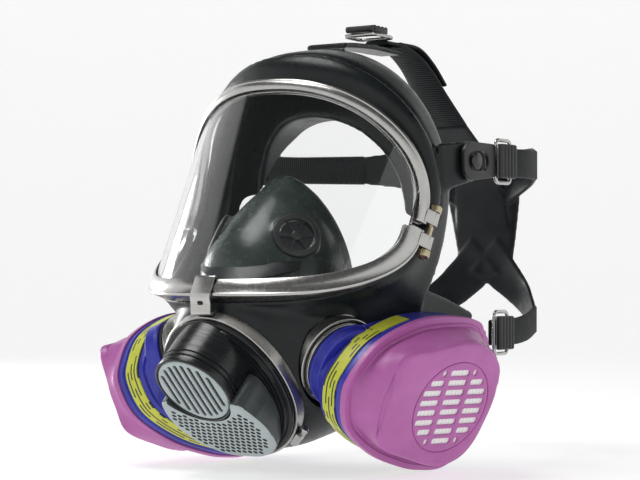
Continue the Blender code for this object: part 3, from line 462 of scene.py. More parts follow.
def label_finish():
    """A yellow-green film with rows of dashes in place of print; the band attribute runs round it."""
    n = Nodes("label_film")
    spread = n.add("ShaderNodeAttribute", attribute_name="band").outputs["Vector"]
    split = n.add("ShaderNodeSeparateXYZ", {"Vector": spread})
    along, across = split.outputs["X"], split.outputs["Y"]

    def maths(operation, first, second=0.0):
        return n.add("ShaderNodeMath", {0: first, 1: second}, operation=operation).outputs[0]

    row = maths("MULTIPLY", across, LABEL_ROWS)
    cell = {"X": maths("FLOOR", maths("MULTIPLY", along, LABEL_CELLS)), "Y": maths("FLOOR", row)}
    join = n.add("ShaderNodeCombineXYZ", cell).outputs["Vector"]
    chance = n.add("ShaderNodeTexWhiteNoise", {"Vector": join}, noise_dimensions="2D").outputs["Value"]
    in_row = maths("LESS_THAN", maths("FRACT", row), LABEL_ROW_HEIGHT)
    dash = maths("MULTIPLY", in_row, maths("GREATER_THAN", chance, LABEL_GAPS))
    past_start = maths("GREATER_THAN", along, LABEL_MARGIN)
    printed = maths("MULTIPLY", past_start, maths("LESS_THAN", along, 1 - LABEL_MARGIN))
    tone = n.tones(80, (0.50, 0.53, 0.035), (0.58, 0.60, 0.06))
    n.shade(Base_Color=n.mix(maths("MULTIPLY", dash, printed), tone, (0.03, 0.04, 0.02)))
    n.shade(Roughness=n.span(n.noise(300), 0.34, 0.5))
    return n.material


def turned_finish():
    """Black plastic with the fine circular marks that a moulded tube keeps."""
    n = Nodes("tube_plastic")
    marks = n.noise(45, 3, (1, 0.06, 1), 0.5, TUBE_TILT, "TEXTURE")
    n.shade(Base_Color=n.tones(120, (0.007, 0.008, 0.009), (0.014, 0.015, 0.016)))
    n.shade(Roughness=n.span(marks, 0.2, 0.34), Specular_IOR_Level=0.42)
    n.bump(marks, 0.006)
    return n.material


# Each finish: material name, two tones, roughness range, grain, relief, patches, stretch of the grain.
FINISHES = {
    "rubber": surface(
        "mask_rubber", (0.004, 0.006, 0.0065), (0.009, 0.012, 0.013), (0.26, 0.38), 2200, 0.03,
        Specular_IOR_Level=0.3,
    ),
    "strap_rubber": surface(
        "strap_rubber", (0.006, 0.008, 0.009), (0.012, 0.015, 0.016), (0.32, 0.46), 2500, 0.04,
        Specular_IOR_Level=0.24,
    ),
    "cup_rubber": surface(
        "cup_rubber", (0.018, 0.027, 0.024), (0.03, 0.042, 0.037), (0.2, 0.3), 1500, 0.012,
        Specular_IOR_Level=0.32,
    ),
    "gasket": surface("gasket_rubber", (0.008, 0.009, 0.012), (0.02, 0.021, 0.025), (0.5, 0.7), 2600, 0.06),
    "steel": surface(
        "frame_steel", (0.44, 0.435, 0.42), (0.50, 0.495, 0.48), (0.22, 0.28), 900, 0.002, 110, (1, 1, 6),
        Metallic=1.0,
    ),
    "satin_steel": surface(
        "band_steel", (0.42, 0.415, 0.39), (0.50, 0.495, 0.47), (0.26, 0.34), 1400, 0.004, 110, (1, 1, 9),
        Metallic=1.0,
    ),
    "screw_steel": surface(
        "screw_brass", (0.42, 0.35, 0.22), (0.60, 0.52, 0.36), (0.22, 0.38), 1600, 0.02, 200,
        Metallic=1.0,
    ),
    "dark_steel": surface(
        "stud_steel", (0.05, 0.05, 0.05), (0.10, 0.10, 0.10), (0.25, 0.4), 1600, 0.02, 200,
        Metallic=0.8,
    ),
    "gloss_black": surface(
        "housing_plastic", (0.005, 0.006, 0.007), (0.010, 0.011, 0.012), (0.14, 0.24), 700, 0.004,
        Specular_IOR_Level=0.4,
    ),
    "satin_black": surface(
        "fitting_plastic", (0.009, 0.009, 0.010), (0.017, 0.018, 0.019), (0.3, 0.45), 1800, 0.03
    ),
    # Painted shade: a darker copy of the shield's grey plastic, for the flank that turns away from the
    # light.
    "flank_painted_shade": surface(
        "shield_flank_painted_shade", (0.035, 0.043, 0.043), (0.055, 0.065, 0.065), (0.3, 0.42), 1900, 0.02
    ),
    "grille_grey": surface(
        "grille_plastic", (0.33, 0.385, 0.39), (0.40, 0.455, 0.46), (0.42, 0.56), 1900, 0.035
    ),
    "blue": surface("filter_blue", (0.020, 0.024, 0.30), (0.030, 0.034, 0.38), (0.26, 0.4), 1500, 0.025),
    "magenta": surface(
        "filter_magenta", (0.40, 0.105, 0.335), (0.46, 0.13, 0.39), (0.3, 0.44), 1700, 0.03
    ),
    "white_rubber": surface(
        "valve_rubber", (0.74, 0.74, 0.70), (0.84, 0.84, 0.81), (0.4, 0.55), 1500, 0.03,
        Subsurface_Weight=0.1,
    ),
    "turned_black": turned_finish(),
    "lens": lens_finish(),
    "media": media_finish(),
    "label": label_finish(),
}


# --- visor outline --------------------------------------------------------------------


def power(value, exponent):
    return math.copysign(abs(value) ** exponent, value)


def visor_share(x):
    """x as a share of the curve's half width, kept clear of the curve's ends."""
    return max(-0.985, min(0.985, x / VISOR_CURVE_HALF_WIDTH))


def visor_y(x, z):
    curve = VISOR_CURVE_DEPTH * (1 - math.sqrt(1 - visor_share(x) ** 2))
    return VISOR_TOP_Y + VISOR_LEAN * (z - VISOR_TOP) + curve


def visor_normal(x):
    s = visor_share(x)
    slope = VISOR_CURVE_DEPTH * s / (VISOR_CURVE_HALF_WIDTH * math.sqrt(1 - s * s))
    n = np.array([slope, -1.0, VISOR_LEAN])
    return n / np.linalg.norm(n)


def visor_half(upper, count):
    """The frame's outer edge from the left joint to the right one, over the top or under."""
    reach, wide, tall = (VISOR_TOP, 0.835, 0.832) if upper else (VISOR_BOTTOM, 0.40, 0.605)
    fine = []
    for i in range(VISOR_STEPS + 1):
        t = math.pi * i / VISOR_STEPS
        x = VISOR_HALF_WIDTH * power(math.cos(t), wide)
        z = VISOR_WIDEST_Z + (reach - VISOR_WIDEST_Z) * abs(math.sin(t)) ** tall
        fine.append([x, visor_y(x, z), z])
    return even(np.array(fine), count)


def with_directions(loop, closed):
    """Each point with the lens normal and the outward edge direction."""
    n = len(loop)
    out = []
    for i, p in enumerate(loop):
        ahead = loop[(i + 1) % n] if closed or i < n - 1 else p
        behind = loop[i - 1] if closed or i > 0 else p
        normal = visor_normal(p[0])
        edge = np.cross(ahead - behind, normal)
        edge /= np.linalg.norm(edge)
        centre = np.array([0.0, visor_y(0, 0), 0.0])
        if edge @ (p - centre) < 0:
            edge = -edge
        out.append((p, normal, edge))
    return out


def visor_loop():
    upper = visor_half(True, UPPER_COUNT + 1)
    lower = visor_half(False, LOWER_COUNT + 1)[::-1]
    return with_directions(np.vstack([upper[:-1], lower[:-1]]), True)


VISOR_LOOP = visor_loop()


def visor_offset(grow, push):
    return [p + grow * edge + push * normal for p, normal, edge in VISOR_LOOP]


# --- face blank -----------------------------------------------------------------------

PORT = leaning((0.0, -99.6, -68.4), math.radians(30))
TUBE = leaning((0.0, -104.8, -105.2), TUBE_TILT)
SHIELD = leaning((0, -91.0, -120.0), math.radians(54))
SIDE_PORT = Frame((48.5, -48.5, -89.5), (0.90, -0.25, -0.36))
FILTER = Frame((78.3, -6.3, -98.8), (0.960, -0.019, -0.278))
GRILLE = Frame((102.0, -22.8, -113.6), (0.907, -0.175, -0.384))
CUP_VALVE = Frame((26.0, -53.0, -26.5), (0.72, -0.55, 0.42))


def seal_point(t, grow):
    c, s = math.cos(t), math.sin(t)
    half = SEAL_HALF_WIDTH + grow
    if s >= 0:
        x = half * power(c, 0.92)
        z = SEAL_MIDDLE + (SEAL_TOP + grow - SEAL_MIDDLE) * s**0.85
    else:
        x = half * power(c, 1.25)
        z = SEAL_MIDDLE + (SEAL_BOTTOM - grow - SEAL_MIDDLE) * abs(s) ** 0.92
    depth = np.interp(z, SEAL_HEIGHTS, SEAL_DEPTHS)
    return np.array([x, depth + SEAL_WRAP * (x / SEAL_HALF_WIDTH) ** 2, z])


def seal_loop(grow):
    halves = []
    for start, count in ((0, UPPER_COUNT), (math.pi, LOWER_COUNT)):
        fine = [seal_point(start + math.pi * i / SEAL_STEPS, grow) for i in range(SEAL_STEPS + 1)]
        halves.append(even(np.array(fine), count + 1)[:-1])
    return np.vstack(halves)


# How far the body stands out between the visor and the seal: share of the way, grow, bulge.
BODY_STAGES = [(0.0, 0.5, 0.0), (0.10, 6.0, 4.0), (0.30, 3.0, 9.0)]
BODY_STAGES += [(0.60, 2.0, 6.0), (0.85, 1.5, 2.0), (1.0, 0.0, 0.0)]


def collar(distance, up):
    """The raised rubber collar behind the upper frame, and the groove behind it."""
    ridge = ease(0.3, 2.6, distance) * (1 - ease(COLLAR_WIDTH - 2.0, COLLAR_WIDTH, distance))
    groove = math.exp(-(((distance - COLLAR_WIDTH - 1.2) / 1.3) ** 2))
    return ease(-0.12, 0.2, up) * (COLLAR_HEIGHT * ridge - COLLAR_GROOVE * groove)


def blank_loop(share, inward=0.0, with_collar=False):
    """A loop of the rubber body between the visor, share 0, and the seal, share 1."""
    stages = smooth_path(BODY_STAGES, 60)
    grow = np.interp(share, stages[:, 0], stages[:, 1]) - inward
    bulge = np.interp(share, stages[:, 0], stages[:, 2])
    start = np.array(visor_offset(min(grow, 0.5), -7.5))
    end = seal_loop(grow)
    loop = (1 - share) * start + share * end
    swell = (1 - share) * (max(grow, 0.5) - 0.5)
    reach = np.linalg.norm(end - start, axis=1)
    for p, full in zip(loop, reach):
        radial = np.array([p[0], 0.0, p[2] - SEAL_MIDDLE])
        radial /= np.linalg.norm(radial)
        up = max(0.0, radial[2])
        down = max(0.0, -radial[2])
        out = bulge * (0.3 + 0.7 * up**2) + swell * (0.2 + 0.8 * up) * (1 - down)
        if with_collar:
            out += collar(share * full, radial[2])
        p += radial * out
        p[0] -= JAW_TUCK * 4 * share * (1 - share) * down * p[0] / SEAL_HALF_WIDTH
    return list(loop)


def lip_loop():
    """The free edge of the seal's inner lip, which lies on the face."""
    loop = []
    for i in range(UPPER_COUNT + LOWER_COUNT):
        upper = i < UPPER_COUNT
        t = math.pi * (i / UPPER_COUNT if upper else 1 + (i - UPPER_COUNT) / LOWER_COUNT)
        c, s = math.cos(t), math.sin(t)
        reach = LIP_TOP - LIP_MIDDLE if s > 0 else LIP_MIDDLE - LIP_BOTTOM
        x = LIP_HALF_WIDTH * power(c, 0.9)
        z = LIP_MIDDLE + reach * power(s, 0.9)
        loop.append(np.array([x, LIP_Y + LIP_CURVE * ((x / LIP_HALF_WIDTH) ** 2 - 1), z]))
    return loop


def egg(grow, h, stretch=1.0):
    """The port's egg-shaped outline, its top at the frame's origin."""
    loop = []
    for a in turn(PORT_COUNT):
        c, s = math.cos(a), math.sin(a)
        wide = PORT_HALF_WIDTH + grow
        tall = (PORT_ABOVE if s > 0 else PORT_BELOW) + grow
        loop.append(PORT.at(wide * c * stretch, -PORT_WIDEST + tall * s, h))
    return loop


SNOUT_STAGES = [(-1.9, -8.6), (2.6, -12.0), (9.0, -24.0), (15.0, -42.0)]
BOSS_STAGES = [(0, -3.4), (2.5, -5.5), (6, -16), (11, -30)]


def snout(grow, low, high):
    """The neck of the face blank behind the front port."""
    stages = [egg(-1.9 + grow, high)] + [egg(g + grow, h) for g, h in smooth_path(SNOUT_STAGES, 12)]
    return loft(stages + [egg(16.0 + grow, low, stretch=0.95)])


def boss(grow, low, high):
    """The neck of the face blank behind a side port."""
    r = PORT_SIDE_RADIUS - 1.8 + grow
    rings = [(0, high)] + [tuple(p) for p in smooth_path(BOSS_STAGES, 12)] + [(9, low)]
    return loft([SIDE_PORT.circle(r + more, h, 72) for more, h in rings])


def mirrored(shape):
    points, faces = shape
    return [np.array(p) * (-1, 1, 1) for p in points], [tuple(reversed(f)) for f in faces]


def both(shape):
    return merged(shape, mirrored(shape))


def face_direction(outward, share):
    """The direction a strap's face looks, between the two or three given ones."""
    stops = np.linspace(0, 1, len(outward))
    return np.array([np.interp(share, stops, [o[k] for o in outward]) for k in range(3)])


def ribbon(path, outward, width, thickness, end_width, ribs=0.0):
    """A strap along a path, its section a flat rounded bar whose thickness can be ribbed."""
    stations = []
    last = len(path) - 1
    run = 0.0
    for i, p in enumerate(path):
        along = path[min(i + 1, last)] - path[max(i - 1, 0)]
        along /= np.linalg.norm(along)
        run += np.linalg.norm(p - path[max(i - 1, 0)])
        share = i / last
        face = face_direction(outward, share)
        face -= along * (face @ along)
        face /= np.linalg.norm(face)
        across = np.cross(along, face)
        half = 0.5 * (width + (end_width - width) * share)
        t = 0.5 * thickness + ribs * (math.cos(2 * math.pi * run / RIB_PITCH) - 1) / 2
        corner = 0.35 * thickness
        ring = [(half - corner, t), (half, t - corner), (half, corner - t), (half - corner, -t)]
        ring += [(-a, b) for a, b in reversed(ring)]
        stations.append([p + a * across + b * face for a, b in ring])
    return loft(stations)


FOREHEAD_LUG = [(0, 5, 78.5), (0, 20, 79.5), (0, 40, 80), (0, 66, 79)]
TEMPLE_LUG = [(76.5, 4, 10), (79.5, 20, 13), (80.5, 36, 15)]
NECK_LUG = [(65.0, -2, -61), (65.2, 20, -65.5), (67.0, 46, -73.5)]


def lugs():
    """The rubber tongues that carry the harness."""
    temple = ribbon(smooth_path(TEMPLE_LUG, 24), [(1, 0, 0), (1, 0, 0)], 26, 3.0, 20)
    neck = ribbon(smooth_path(NECK_LUG, 24), [(1, 0, 0), (1, 0.2, 0)], 18, 2.6, 15)
    forehead = ribbon(smooth_path(FOREHEAD_LUG, 24), [(0, 0, 1), (0, 0, 1)], 28, 3.0, 16)
    return both(merged(temple, neck)), forehead


def face_blank():
    shares = list(np.linspace(0.02, 0.3, 22)) + list(np.linspace(0.33, 0.97, 20)) + [0.985, 1.0]
    outer = [visor_offset(-0.5, -6.4), visor_offset(0.6, -6.6)]
    outer += [blank_loop(share, 0.0, True) for share in shares]
    necks = [snout(0, -58, -1.0), both(boss(0, -46, 3.65))]
    skin = mesh_object("mask_body", merged(loft(outer), *necks, *lugs()))
    remeshed(skin, 1.15, 5)
    inner = [visor_offset(-4.5, 6.0), visor_offset(-4.5, -8.5)]
    inner += [blank_loop(share, WALL) for share in np.linspace(0.08, 0.82, 16)]
    inner += [lip_loop(), [p + np.array([0, 40.0, 0]) for p in lip_loop()]]
    inner_necks = [snout(-WALL, -52, 8.0), both(boss(-WALL, -40, 12.0))]
    hollow = mesh_object("hollow", merged(loft(inner), *inner_necks))
    remeshed(hollow, 1.5, 4)
    profile = [(22.1, -3.6), (24.0, -3.6), (24.8, 4.0), (27.0, 9.0), (22.1, 9.0)]
    side_seat = turned(SIDE_PORT, profile, 72)
    port_seat = loft([egg(-1.75, -8.4), egg(5, -8.4), egg(9, 4), egg(-1.75, 4)], True)
    carved(skin, hollow, side_seat, mirrored(side_seat), port_seat)
    dressed(skin, "rubber", "face_blank", 50)


# --- visor ----------------------------------------------------------------------------


def visor_lens():
    inset, columns, rows = 3.0, 96, 12
    edges = []
    for upper in (True, False):
        half = with_directions(visor_half(upper, 400), False)
        edges.append(np.array([p - inset * edge for p, _, edge in half]))
    reach = VISOR_HALF_WIDTH - inset - 0.4
    slices = []
    for i in range(columns + 1):
        x = reach * math.sin(0.5 * math.pi * (2 * i / columns - 1))
        ends = [np.interp(-x, -edge[:, 0], edge[:, 2]) for edge in edges]
        front = [np.array([x, visor_y(x, z), z]) for z in np.linspace(*ends, rows + 1)]
        slices.append(front + [p - LENS_THICKNESS * visor_normal(x) for p in reversed(front)])
    dressed(mesh_object("lens", loft(slices)), "lens", "visor_lens")


def frame_profile(width):
    """The frame's section, (edge, normal): a domed face, a rolled rim and the lens's channel."""
    lip = FRAME_FRONT
    rim_side = [(-0.3, -6.0), (0.0, -5.6), (0.0, 0.7), (-0.15, 1.3), (-0.6, lip + 0.1)]
    dome = [(-1.3, lip + 0.25), (-1.9, lip), (-0.5 * width, lip + 0.3), (-width + 0.9, lip)]
    dome += [(-width + 0.2, lip - 0.4)]
    channel = [(-width, 0.5), (-1.8, 0.5), (-1.8, -3.2), (-width, -3.2), (-width, -5.7)]
    return rim_side + dome + channel + [(-width + 0.3, -6.0)]


def frame_half(side, width, upper):
    profile = frame_profile(width)
    fine = visor_half(upper, 800)
    skip = round(HALF_JOINT_GAP / np.linalg.norm(fine[1] - fine[0]))
    stations = []
    for p, normal, edge in with_directions(even(fine[skip:-skip], 220), False):
        stations.append([p + b * edge + n * normal for b, n in profile])
    low = 3.0 if upper else -10.5
    ear = box(EAR, (-6.5, 2.0), (-3.0, 1.8), (low, low + 7.5))
    barrel = turned(EAR, [(1.7, low + 0.4), (3.1, low + 0.4), (3.1, low + 7.1), (1.7, low + 7.1)], 32)
    obj = mesh_object("frame_" + side, merged(loft(stations), both(ear), both(barrel)))
    dressed(bevelled(obj, 0.45, 3, 50), "steel", "visor_frame_" + side, 30)


def ear_frame():
    """The screw axis at the left joint of the two frame halves; u points outward along the lens."""
    place = np.array([VISOR_HALF_WIDTH, visor_y(VISOR_HALF_WIDTH, VISOR_WIDEST_Z), VISOR_WIDEST_Z])
    normal = visor_normal(VISOR_HALF_WIDTH)
    along = np.array([0.0, VISOR_LEAN, 1.0])
    outward = np.cross(along, normal)
    outward *= np.sign(outward[1]) / np.linalg.norm(outward)
    return Frame(place + 4.3 * outward - 1.0 * normal, along, outward)


EAR = ear_frame()


def frame_screws():
    head = [(0.4, -15.4), (2.2, -15.2), (3.2, -14.4), (3.3, -13.8), (3.3, -11.0)]
    shank = [(1.4, -10.8), (1.4, 15.2), (0.9, 15.6)]
    screw = mesh_object("frame_screw", spindle(EAR, head + shank, 32))
    carved(screw, box(EAR, (-5, 5), (-0.45, 0.45), (-17, -14.6)))
    pair(screw, "screw_steel", "frame_screw")
    outline = [(1.7, 10.9), (3.1, 10.9), (3.4, 11.2), (3.4, 14.0), (2.9, 14.6), (1.7, 14.6)]
    pair(mesh_object("frame_nut", turned(EAR, outline, 32)), "screw_steel", "frame_nut")


def rounded_path(points, radius):
    """The points' polyline with each corner turned into a short curve."""
    p = [np.array(q, float) for q in points]
    out = [p[0]]
    for before, here, after in zip(p, p[1:], p[2:]):
        first = before - here
        second = after - here
        reach = min(radius, 0.45 * np.linalg.norm(first), 0.45 * np.linalg.norm(second))
        a = here + first / np.linalg.norm(first) * reach
        b = here + second / np.linalg.norm(second) * reach
        for t in np.linspace(0, 1, 7):
            out.append((1 - t) ** 2 * a + 2 * t * (1 - t) * here + t * t * b)
    return out + [p[-1]]


def bent_strip(local, path, thickness, half):
    """A strip bent along a path of (v, h) in the frame's side plane; half is half its width."""
    stations = []
    last = len(path) - 1
    for i, here in enumerate(path):
        along = path[min(i + 1, last)] - path[max(i - 1, 0)]
        along = along / np.linalg.norm(along)
        side = np.array([-along[1], along[0]])
        a, b = here + side * thickness / 2, here - side * thickness / 2
        stations.append([local.at(x, *q) for x, q in ((half, a), (-half, a), (-half, b), (half, b))])
    return loft(stations)


def centre_clip():
    bottom = np.array([0.0, visor_y(0, VISOR_BOTTOM), VISOR_BOTTOM])
    local = Frame(bottom, visor_normal(0), (1, 0, 0))
    top = FRAME_WIDTH_LOWER + 0.9
    front = FRAME_FRONT + 0.9
    path = [(top, 0.2), (top, front), (-0.5, front), (-3.5, front - 2.5)]
    for h in (-1.5, -7.0):
        foot = PORT.at(0, PORT_ABOVE - PORT_WIDEST + 0.9, h) - bottom
        path.append((foot @ local.v, foot @ local.h))
    clip = mesh_object("visor_clip", bent_strip(local, rounded_path(path, 1.6), 1.0, 6.5))
    slant = local.at(0, -3.4, front) - local.at(0, -1.0, front - 3.4)
    eye = Frame(local.at(0, -3.4, front - 2.2), slant, (1, 0, 0))
    carved(clip, prism(eye, stadium(0, 0, 2.0, 1.1), -6, 6))
    dressed(bevelled(clip, 0.25, 2, 50), "steel", "centre_clip", 30)


# --- front port -----------------------------------------------------------------------


def rounded_band(loop_at, inner, outer, low, high):
    """A clamp band: loop_at(grow, h) gives a loop, and its outer edges are rounded."""
    edge = 0.35
    loops = [(inner, low), (outer - edge, low), (outer, low + edge)]
    loops += [(outer + 0.12, 0.5 * (low + high))]
    loops += [(outer, high - edge), (outer - edge, high), (inner, high)]
    return loft([loop_at(grow, h) for grow, h in loops], True)


def worm_screw(name, local, stem, dress):
    """A clamp's worm housing with its slotted screw, standing on the band."""
    outline = [(-4.5, 0.4), (-4.5, 2.6), (-3.0, 3.7), (3.0, 3.7), (4.5, 2.6), (4.5, 0.4)]
    housing = rounded_path(outline, 1.0)
    block = loft([[local.at(u, v, h) for v, h in housing] for u in (-3.4, 3.4)])
    head = Frame(local.at(0, -8.6, 2.6), local.v, local.u)
    screw = spindle(head, [(1.4, 0), (2.0, 0.5), (2.0, 2.6), (1.2, 2.8), (1.2, 14.0)], 28)
    obj = mesh_object(name, merged(block, screw))
    carved(obj, box(head, (-0.35, 0.35), (-3, 3), (-1, 0.9)))
    dress(bevelled(obj, 0.2, 2, 50), "steel", stem)


def port_clamp():
    band = rounded_band(egg, -1.1, 0, -8.0, -1.0)
    dressed(mesh_object("port_band", band), "satin_steel", "port_clamp_band", 30)
    c, s = math.cos(PORT_SCREW_ANGLE), math.sin(PORT_SCREW_ANGLE)
    place = PORT.at(PORT_HALF_WIDTH * c, -PORT_WIDEST + PORT_BELOW * s, -4.6)
    outward = PORT.at(PORT_BELOW * c, PORT_HALF_WIDTH * s) - PORT.o
    worm_screw("port_worm", Frame(place, outward, PORT.h), "port_clamp_screw", dressed)


def tube_loop(radius, front, port_h):
    """The round tube's rear end, cut off along the port's plane."""
    rear = []
    for p in TUBE.circle(radius, front):
        reach = ((p - PORT.o) @ PORT.h - port_h) / (TUBE.h @ PORT.h)
        rear.append(p - reach * TUBE.h)
    return rear


def exhalation_housing():
    stages = [(-5.7, -12.0), (-5.7, -0.7), (-1.6, -0.65), (-1.4, -0.4), (-1.4, 1.3), (-1.9, 1.7)]
    stages += [(-3.2, 1.8), (-3.4, 2.6)]
    for ridge in (-4.4, -6.6, -8.8):
        stages += [(ridge + 0.5, 2.6), (ridge + 0.3, 3.2), (ridge - 0.5, 3.3), (ridge - 0.7, 2.6)]
    flange = mesh_object("exhalation_flange", loft([egg(grow, h) for grow, h in stages]))
    carved(flange, disc(PORT, 12.0, -20, 8, 48, v=EXHALE_VALVE_DROP))
    dressed(flange, "gloss_black", "exhalation_housing", 30)
    outer = []
    for groove in (-7.4, -4.4):
        outer += [(TUBE_RADIUS, groove - 0.8), (21.5, groove - 0.4)]
        outer += [(21.5, groove + 0.4), (TUBE_RADIUS, groove + 0.8)]
    lip = [(TUBE_RADIUS, -0.9), (22.1, -0.3), (21.6, 0.0), (21.2, 0.0), (20.85, -0.3)]
    mouth = [TUBE.circle(r, h) for r, h in outer + lip + [(20.8, -2.7), (18.6, -2.9)]]
    loops = [tube_loop(TUBE_RADIUS, 0, 1.0)] + mouth + [tube_loop(18.6, 0, 1.0)]
    dressed(mesh_object("speech_tube", loft(loops, True)), "turned_black", "exhalation_housing", 30)


def speech_grille():
    profile = [(20.6, -2.4), (20.6, -0.9), (20.2, -0.3), (19.4, 0.0), (10.0, 0.25)]
    grille = mesh_object("speech_grille_disc", spindle(TUBE, profile))
    across = Frame(TUBE.o, TUBE.h, TUBE.v)
    slots = []
    for i in range(SPEECH_SLOTS):
        v = ((SPEECH_SLOTS - 1) / 2 - i) * SPEECH_SLOT_PITCH
        half = math.sqrt(SPEECH_SLOT_REACH**2 - v**2)
        slots.append(prism(across, stadium(0, v, half, 1.3), -6, 6))
    carved(grille, merged(*slots))
    dressed(bevelled(grille, 0.15, 2, 60), "grille_grey", "speech_grille")
    # A black disc just under the grille's slots so they read black: painted shade in place of the dim space
    # behind them.
    slot_shade = disc(TUBE, 19.2, -2.6, -0.75)
    dressed(mesh_object("speech_slot_shade", slot_shade), "satin_black", "speech_grille")
    ring = [(18.3, -6.6), (18.3, -2.7), (15.8, -2.7), (15.8, -6.6)]
    dressed(mesh_object("diaphragm_clamp", turned(TUBE, ring)), "satin_black", "diaphragm_ring")
    # The diaphragm film takes the dark fitting plastic so the slots look dark: painted shade seen through
    # the slots.
    profile = [(18.2, -7.4), (18.2, -6.9), (14.0, -6.9), (13.0, -6.5), (12.0, -6.9), (0.5, -6.8)]
    dressed(mesh_object("diaphragm_film", spindle(TUBE, profile)), "satin_black", "speech_diaphragm")


def exhalation_valve():
    seat_frame = Frame(PORT.at(0, EXHALE_VALVE_DROP, 0), PORT.h, PORT.u)
    profile = [(11.7, -2.0), (11.7, 2.8), (11.3, 3.2), (9.4, 3.2), (9.0, 2.8), (9.0, -2.0)]
    ring = turned(seat_frame, profile)
    level_bar = box(seat_frame, (-9.5, 9.5), (-0.8, 0.8), (-1.5, 1.0))
    upright_bar = box(seat_frame, (-0.8, 0.8), (-9.4, 9.4), (-1.4, 0.9))
    hub = turned(seat_frame, [(1.6, -1.6), (3.0, -1.6), (3.0, 1.1), (1.6, 1.1)], 32)
    seat = mesh_object("exhale_seat", merged(ring, level_bar, upright_bar, hub))
    dressed(bevelled(seat, 0.2), "satin_black", "exhale_valve_seat")
    profile = [(1.2, -3.5), (1.2, 3.4), (6.0, 3.3), (9.2, 3.6), (9.5, 3.9), (9.3, 4.2)]
    profile += [(6.0, 4.5), (2.6, 4.9), (2.0, 5.2)]
    flap = mesh_object("exhale_flap", spindle(seat_frame, profile, 64))
    dressed(flap, "white_rubber", "exhale_valve_disc")


SHIELD_EDGE = [(0, 14), (20, 13.5), (27, 10), (31, -4), (30, -15), (25, -27), (13, -35.5), (0, -37)]
SHIELD_CENTRE = (0.0, -13.0)
SHIELD_HOLE_PITCH = 3.7
SHIELD_HOLE_RADIUS = 1.35
SHIELD_FACE_TURN = 0.55


def closed_even(ring, count, grow, centre):
    """Points at equal angles about the centre on the closed curve through ring, moved out by grow."""
    path = smooth_path(ring + ring[:3], 400)
    p = path[:, :2] - np.array(centre)
    angle = np.arctan2(p[:, 1], p[:, 0]) % (2 * math.pi)
    order = np.argsort(angle)
    known, radius = angle[order], np.hypot(p[:, 0], p[:, 1])[order]
    out = []
    for a in turn(count):
        r = np.interp(a, known, radius, period=2 * math.pi) + grow
        out.append((centre[0] + r * math.cos(a), centre[1] + r * math.sin(a)))
    return out


def shield_outline(grow):
    ring = SHIELD_EDGE + [(-u, v) for u, v in SHIELD_EDGE[-2:0:-1]]
    return closed_even(ring, PORT_COUNT, grow, SHIELD_CENTRE)


def inside(outline, centre, u, v):
    """Whether a point lies within an outline whose points stand at equal angles about the centre."""
    count = len(outline)
    du, dv = u - centre[0], v - centre[1]
    rim_u, rim_v = outline[round(math.atan2(dv, du) % (2 * math.pi) / (2 * math.pi) * count) % count]
    return math.hypot(du, dv) < math.hypot(rim_u - centre[0], rim_v - centre[1])


def shield_holes():
    """Staggered rows of round holes over the face, clear of its edge and of the tube."""
    holes = []
    edge = shield_outline(-4.2)
    for row in range(-14, 8):
        v = row * SHIELD_HOLE_PITCH * 0.866 - 2
        for column in range(-11, 12):
            u = (column + 0.5 * (row % 2)) * SHIELD_HOLE_PITCH
            clear = TUBE.off_axis(SHIELD.at(u, v)) > TUBE_RADIUS + 2.2
            if clear and inside(edge, SHIELD_CENTRE, u, v):
                holes.append(disc(SHIELD, SHIELD_HOLE_RADIUS, -4, 5, 12, u, v))
    return merged(*holes)


def exhalation_shield():
    def skirt(grow, h):
        return [PORT.at(1.04 * u, v - 44, h) for u, v in shield_outline(grow)]

    def face(grow, h):
        return [SHIELD.at(u, v, h) for u, v in shield_outline(grow)]

    edge = [face(g, h) for g, h in ((0, -1.5), (-0.2, -1.2), (-1.2, -0.25), (-1.6, -0.05), (-2.2, 0))]
    shield = mesh_object("exhalation_cover", loft([skirt(0, 3.0)] + edge))
    carved(shield, loft([skirt(-3.5, 1.0), skirt(-3.5, 2.4), face(-3.5, -2.0)]))
    carved(shield, loft([tube_loop(TUBE_RADIUS + 0.3, 8, -4), TUBE.circle(TUBE_RADIUS + 0.3, 8)]))
    dressed(carved(shield, shield_holes()), "grille_grey", "exhalation_shield", 30)
    # Faces turned away from the shield's axis take the darker grey: painted shade on the flank, which the
    # light does not reach.
    shield.data.materials.append(FINISHES["flank_painted_shade"])
    for polygon in shield.data.polygons:
        polygon.material_index = int(polygon.normal @ Vector(SHIELD.h) < SHIELD_FACE_TURN)
    # A dark sheet just under the perforated face so the holes read black: painted shade standing for the
    # dim housing behind them.
    hole_shade = mesh_object("exhalation_hole_shade", loft([face(-3.2, -1.7), face(-3.2, -0.35)]))
    carved(hole_shade, disc(TUBE, TUBE_RADIUS + 0.8, -30, 8))
    dressed(hole_shade, "satin_black", "exhalation_shield", 30)


# --- side ports and filters -----------------------------------------------------------


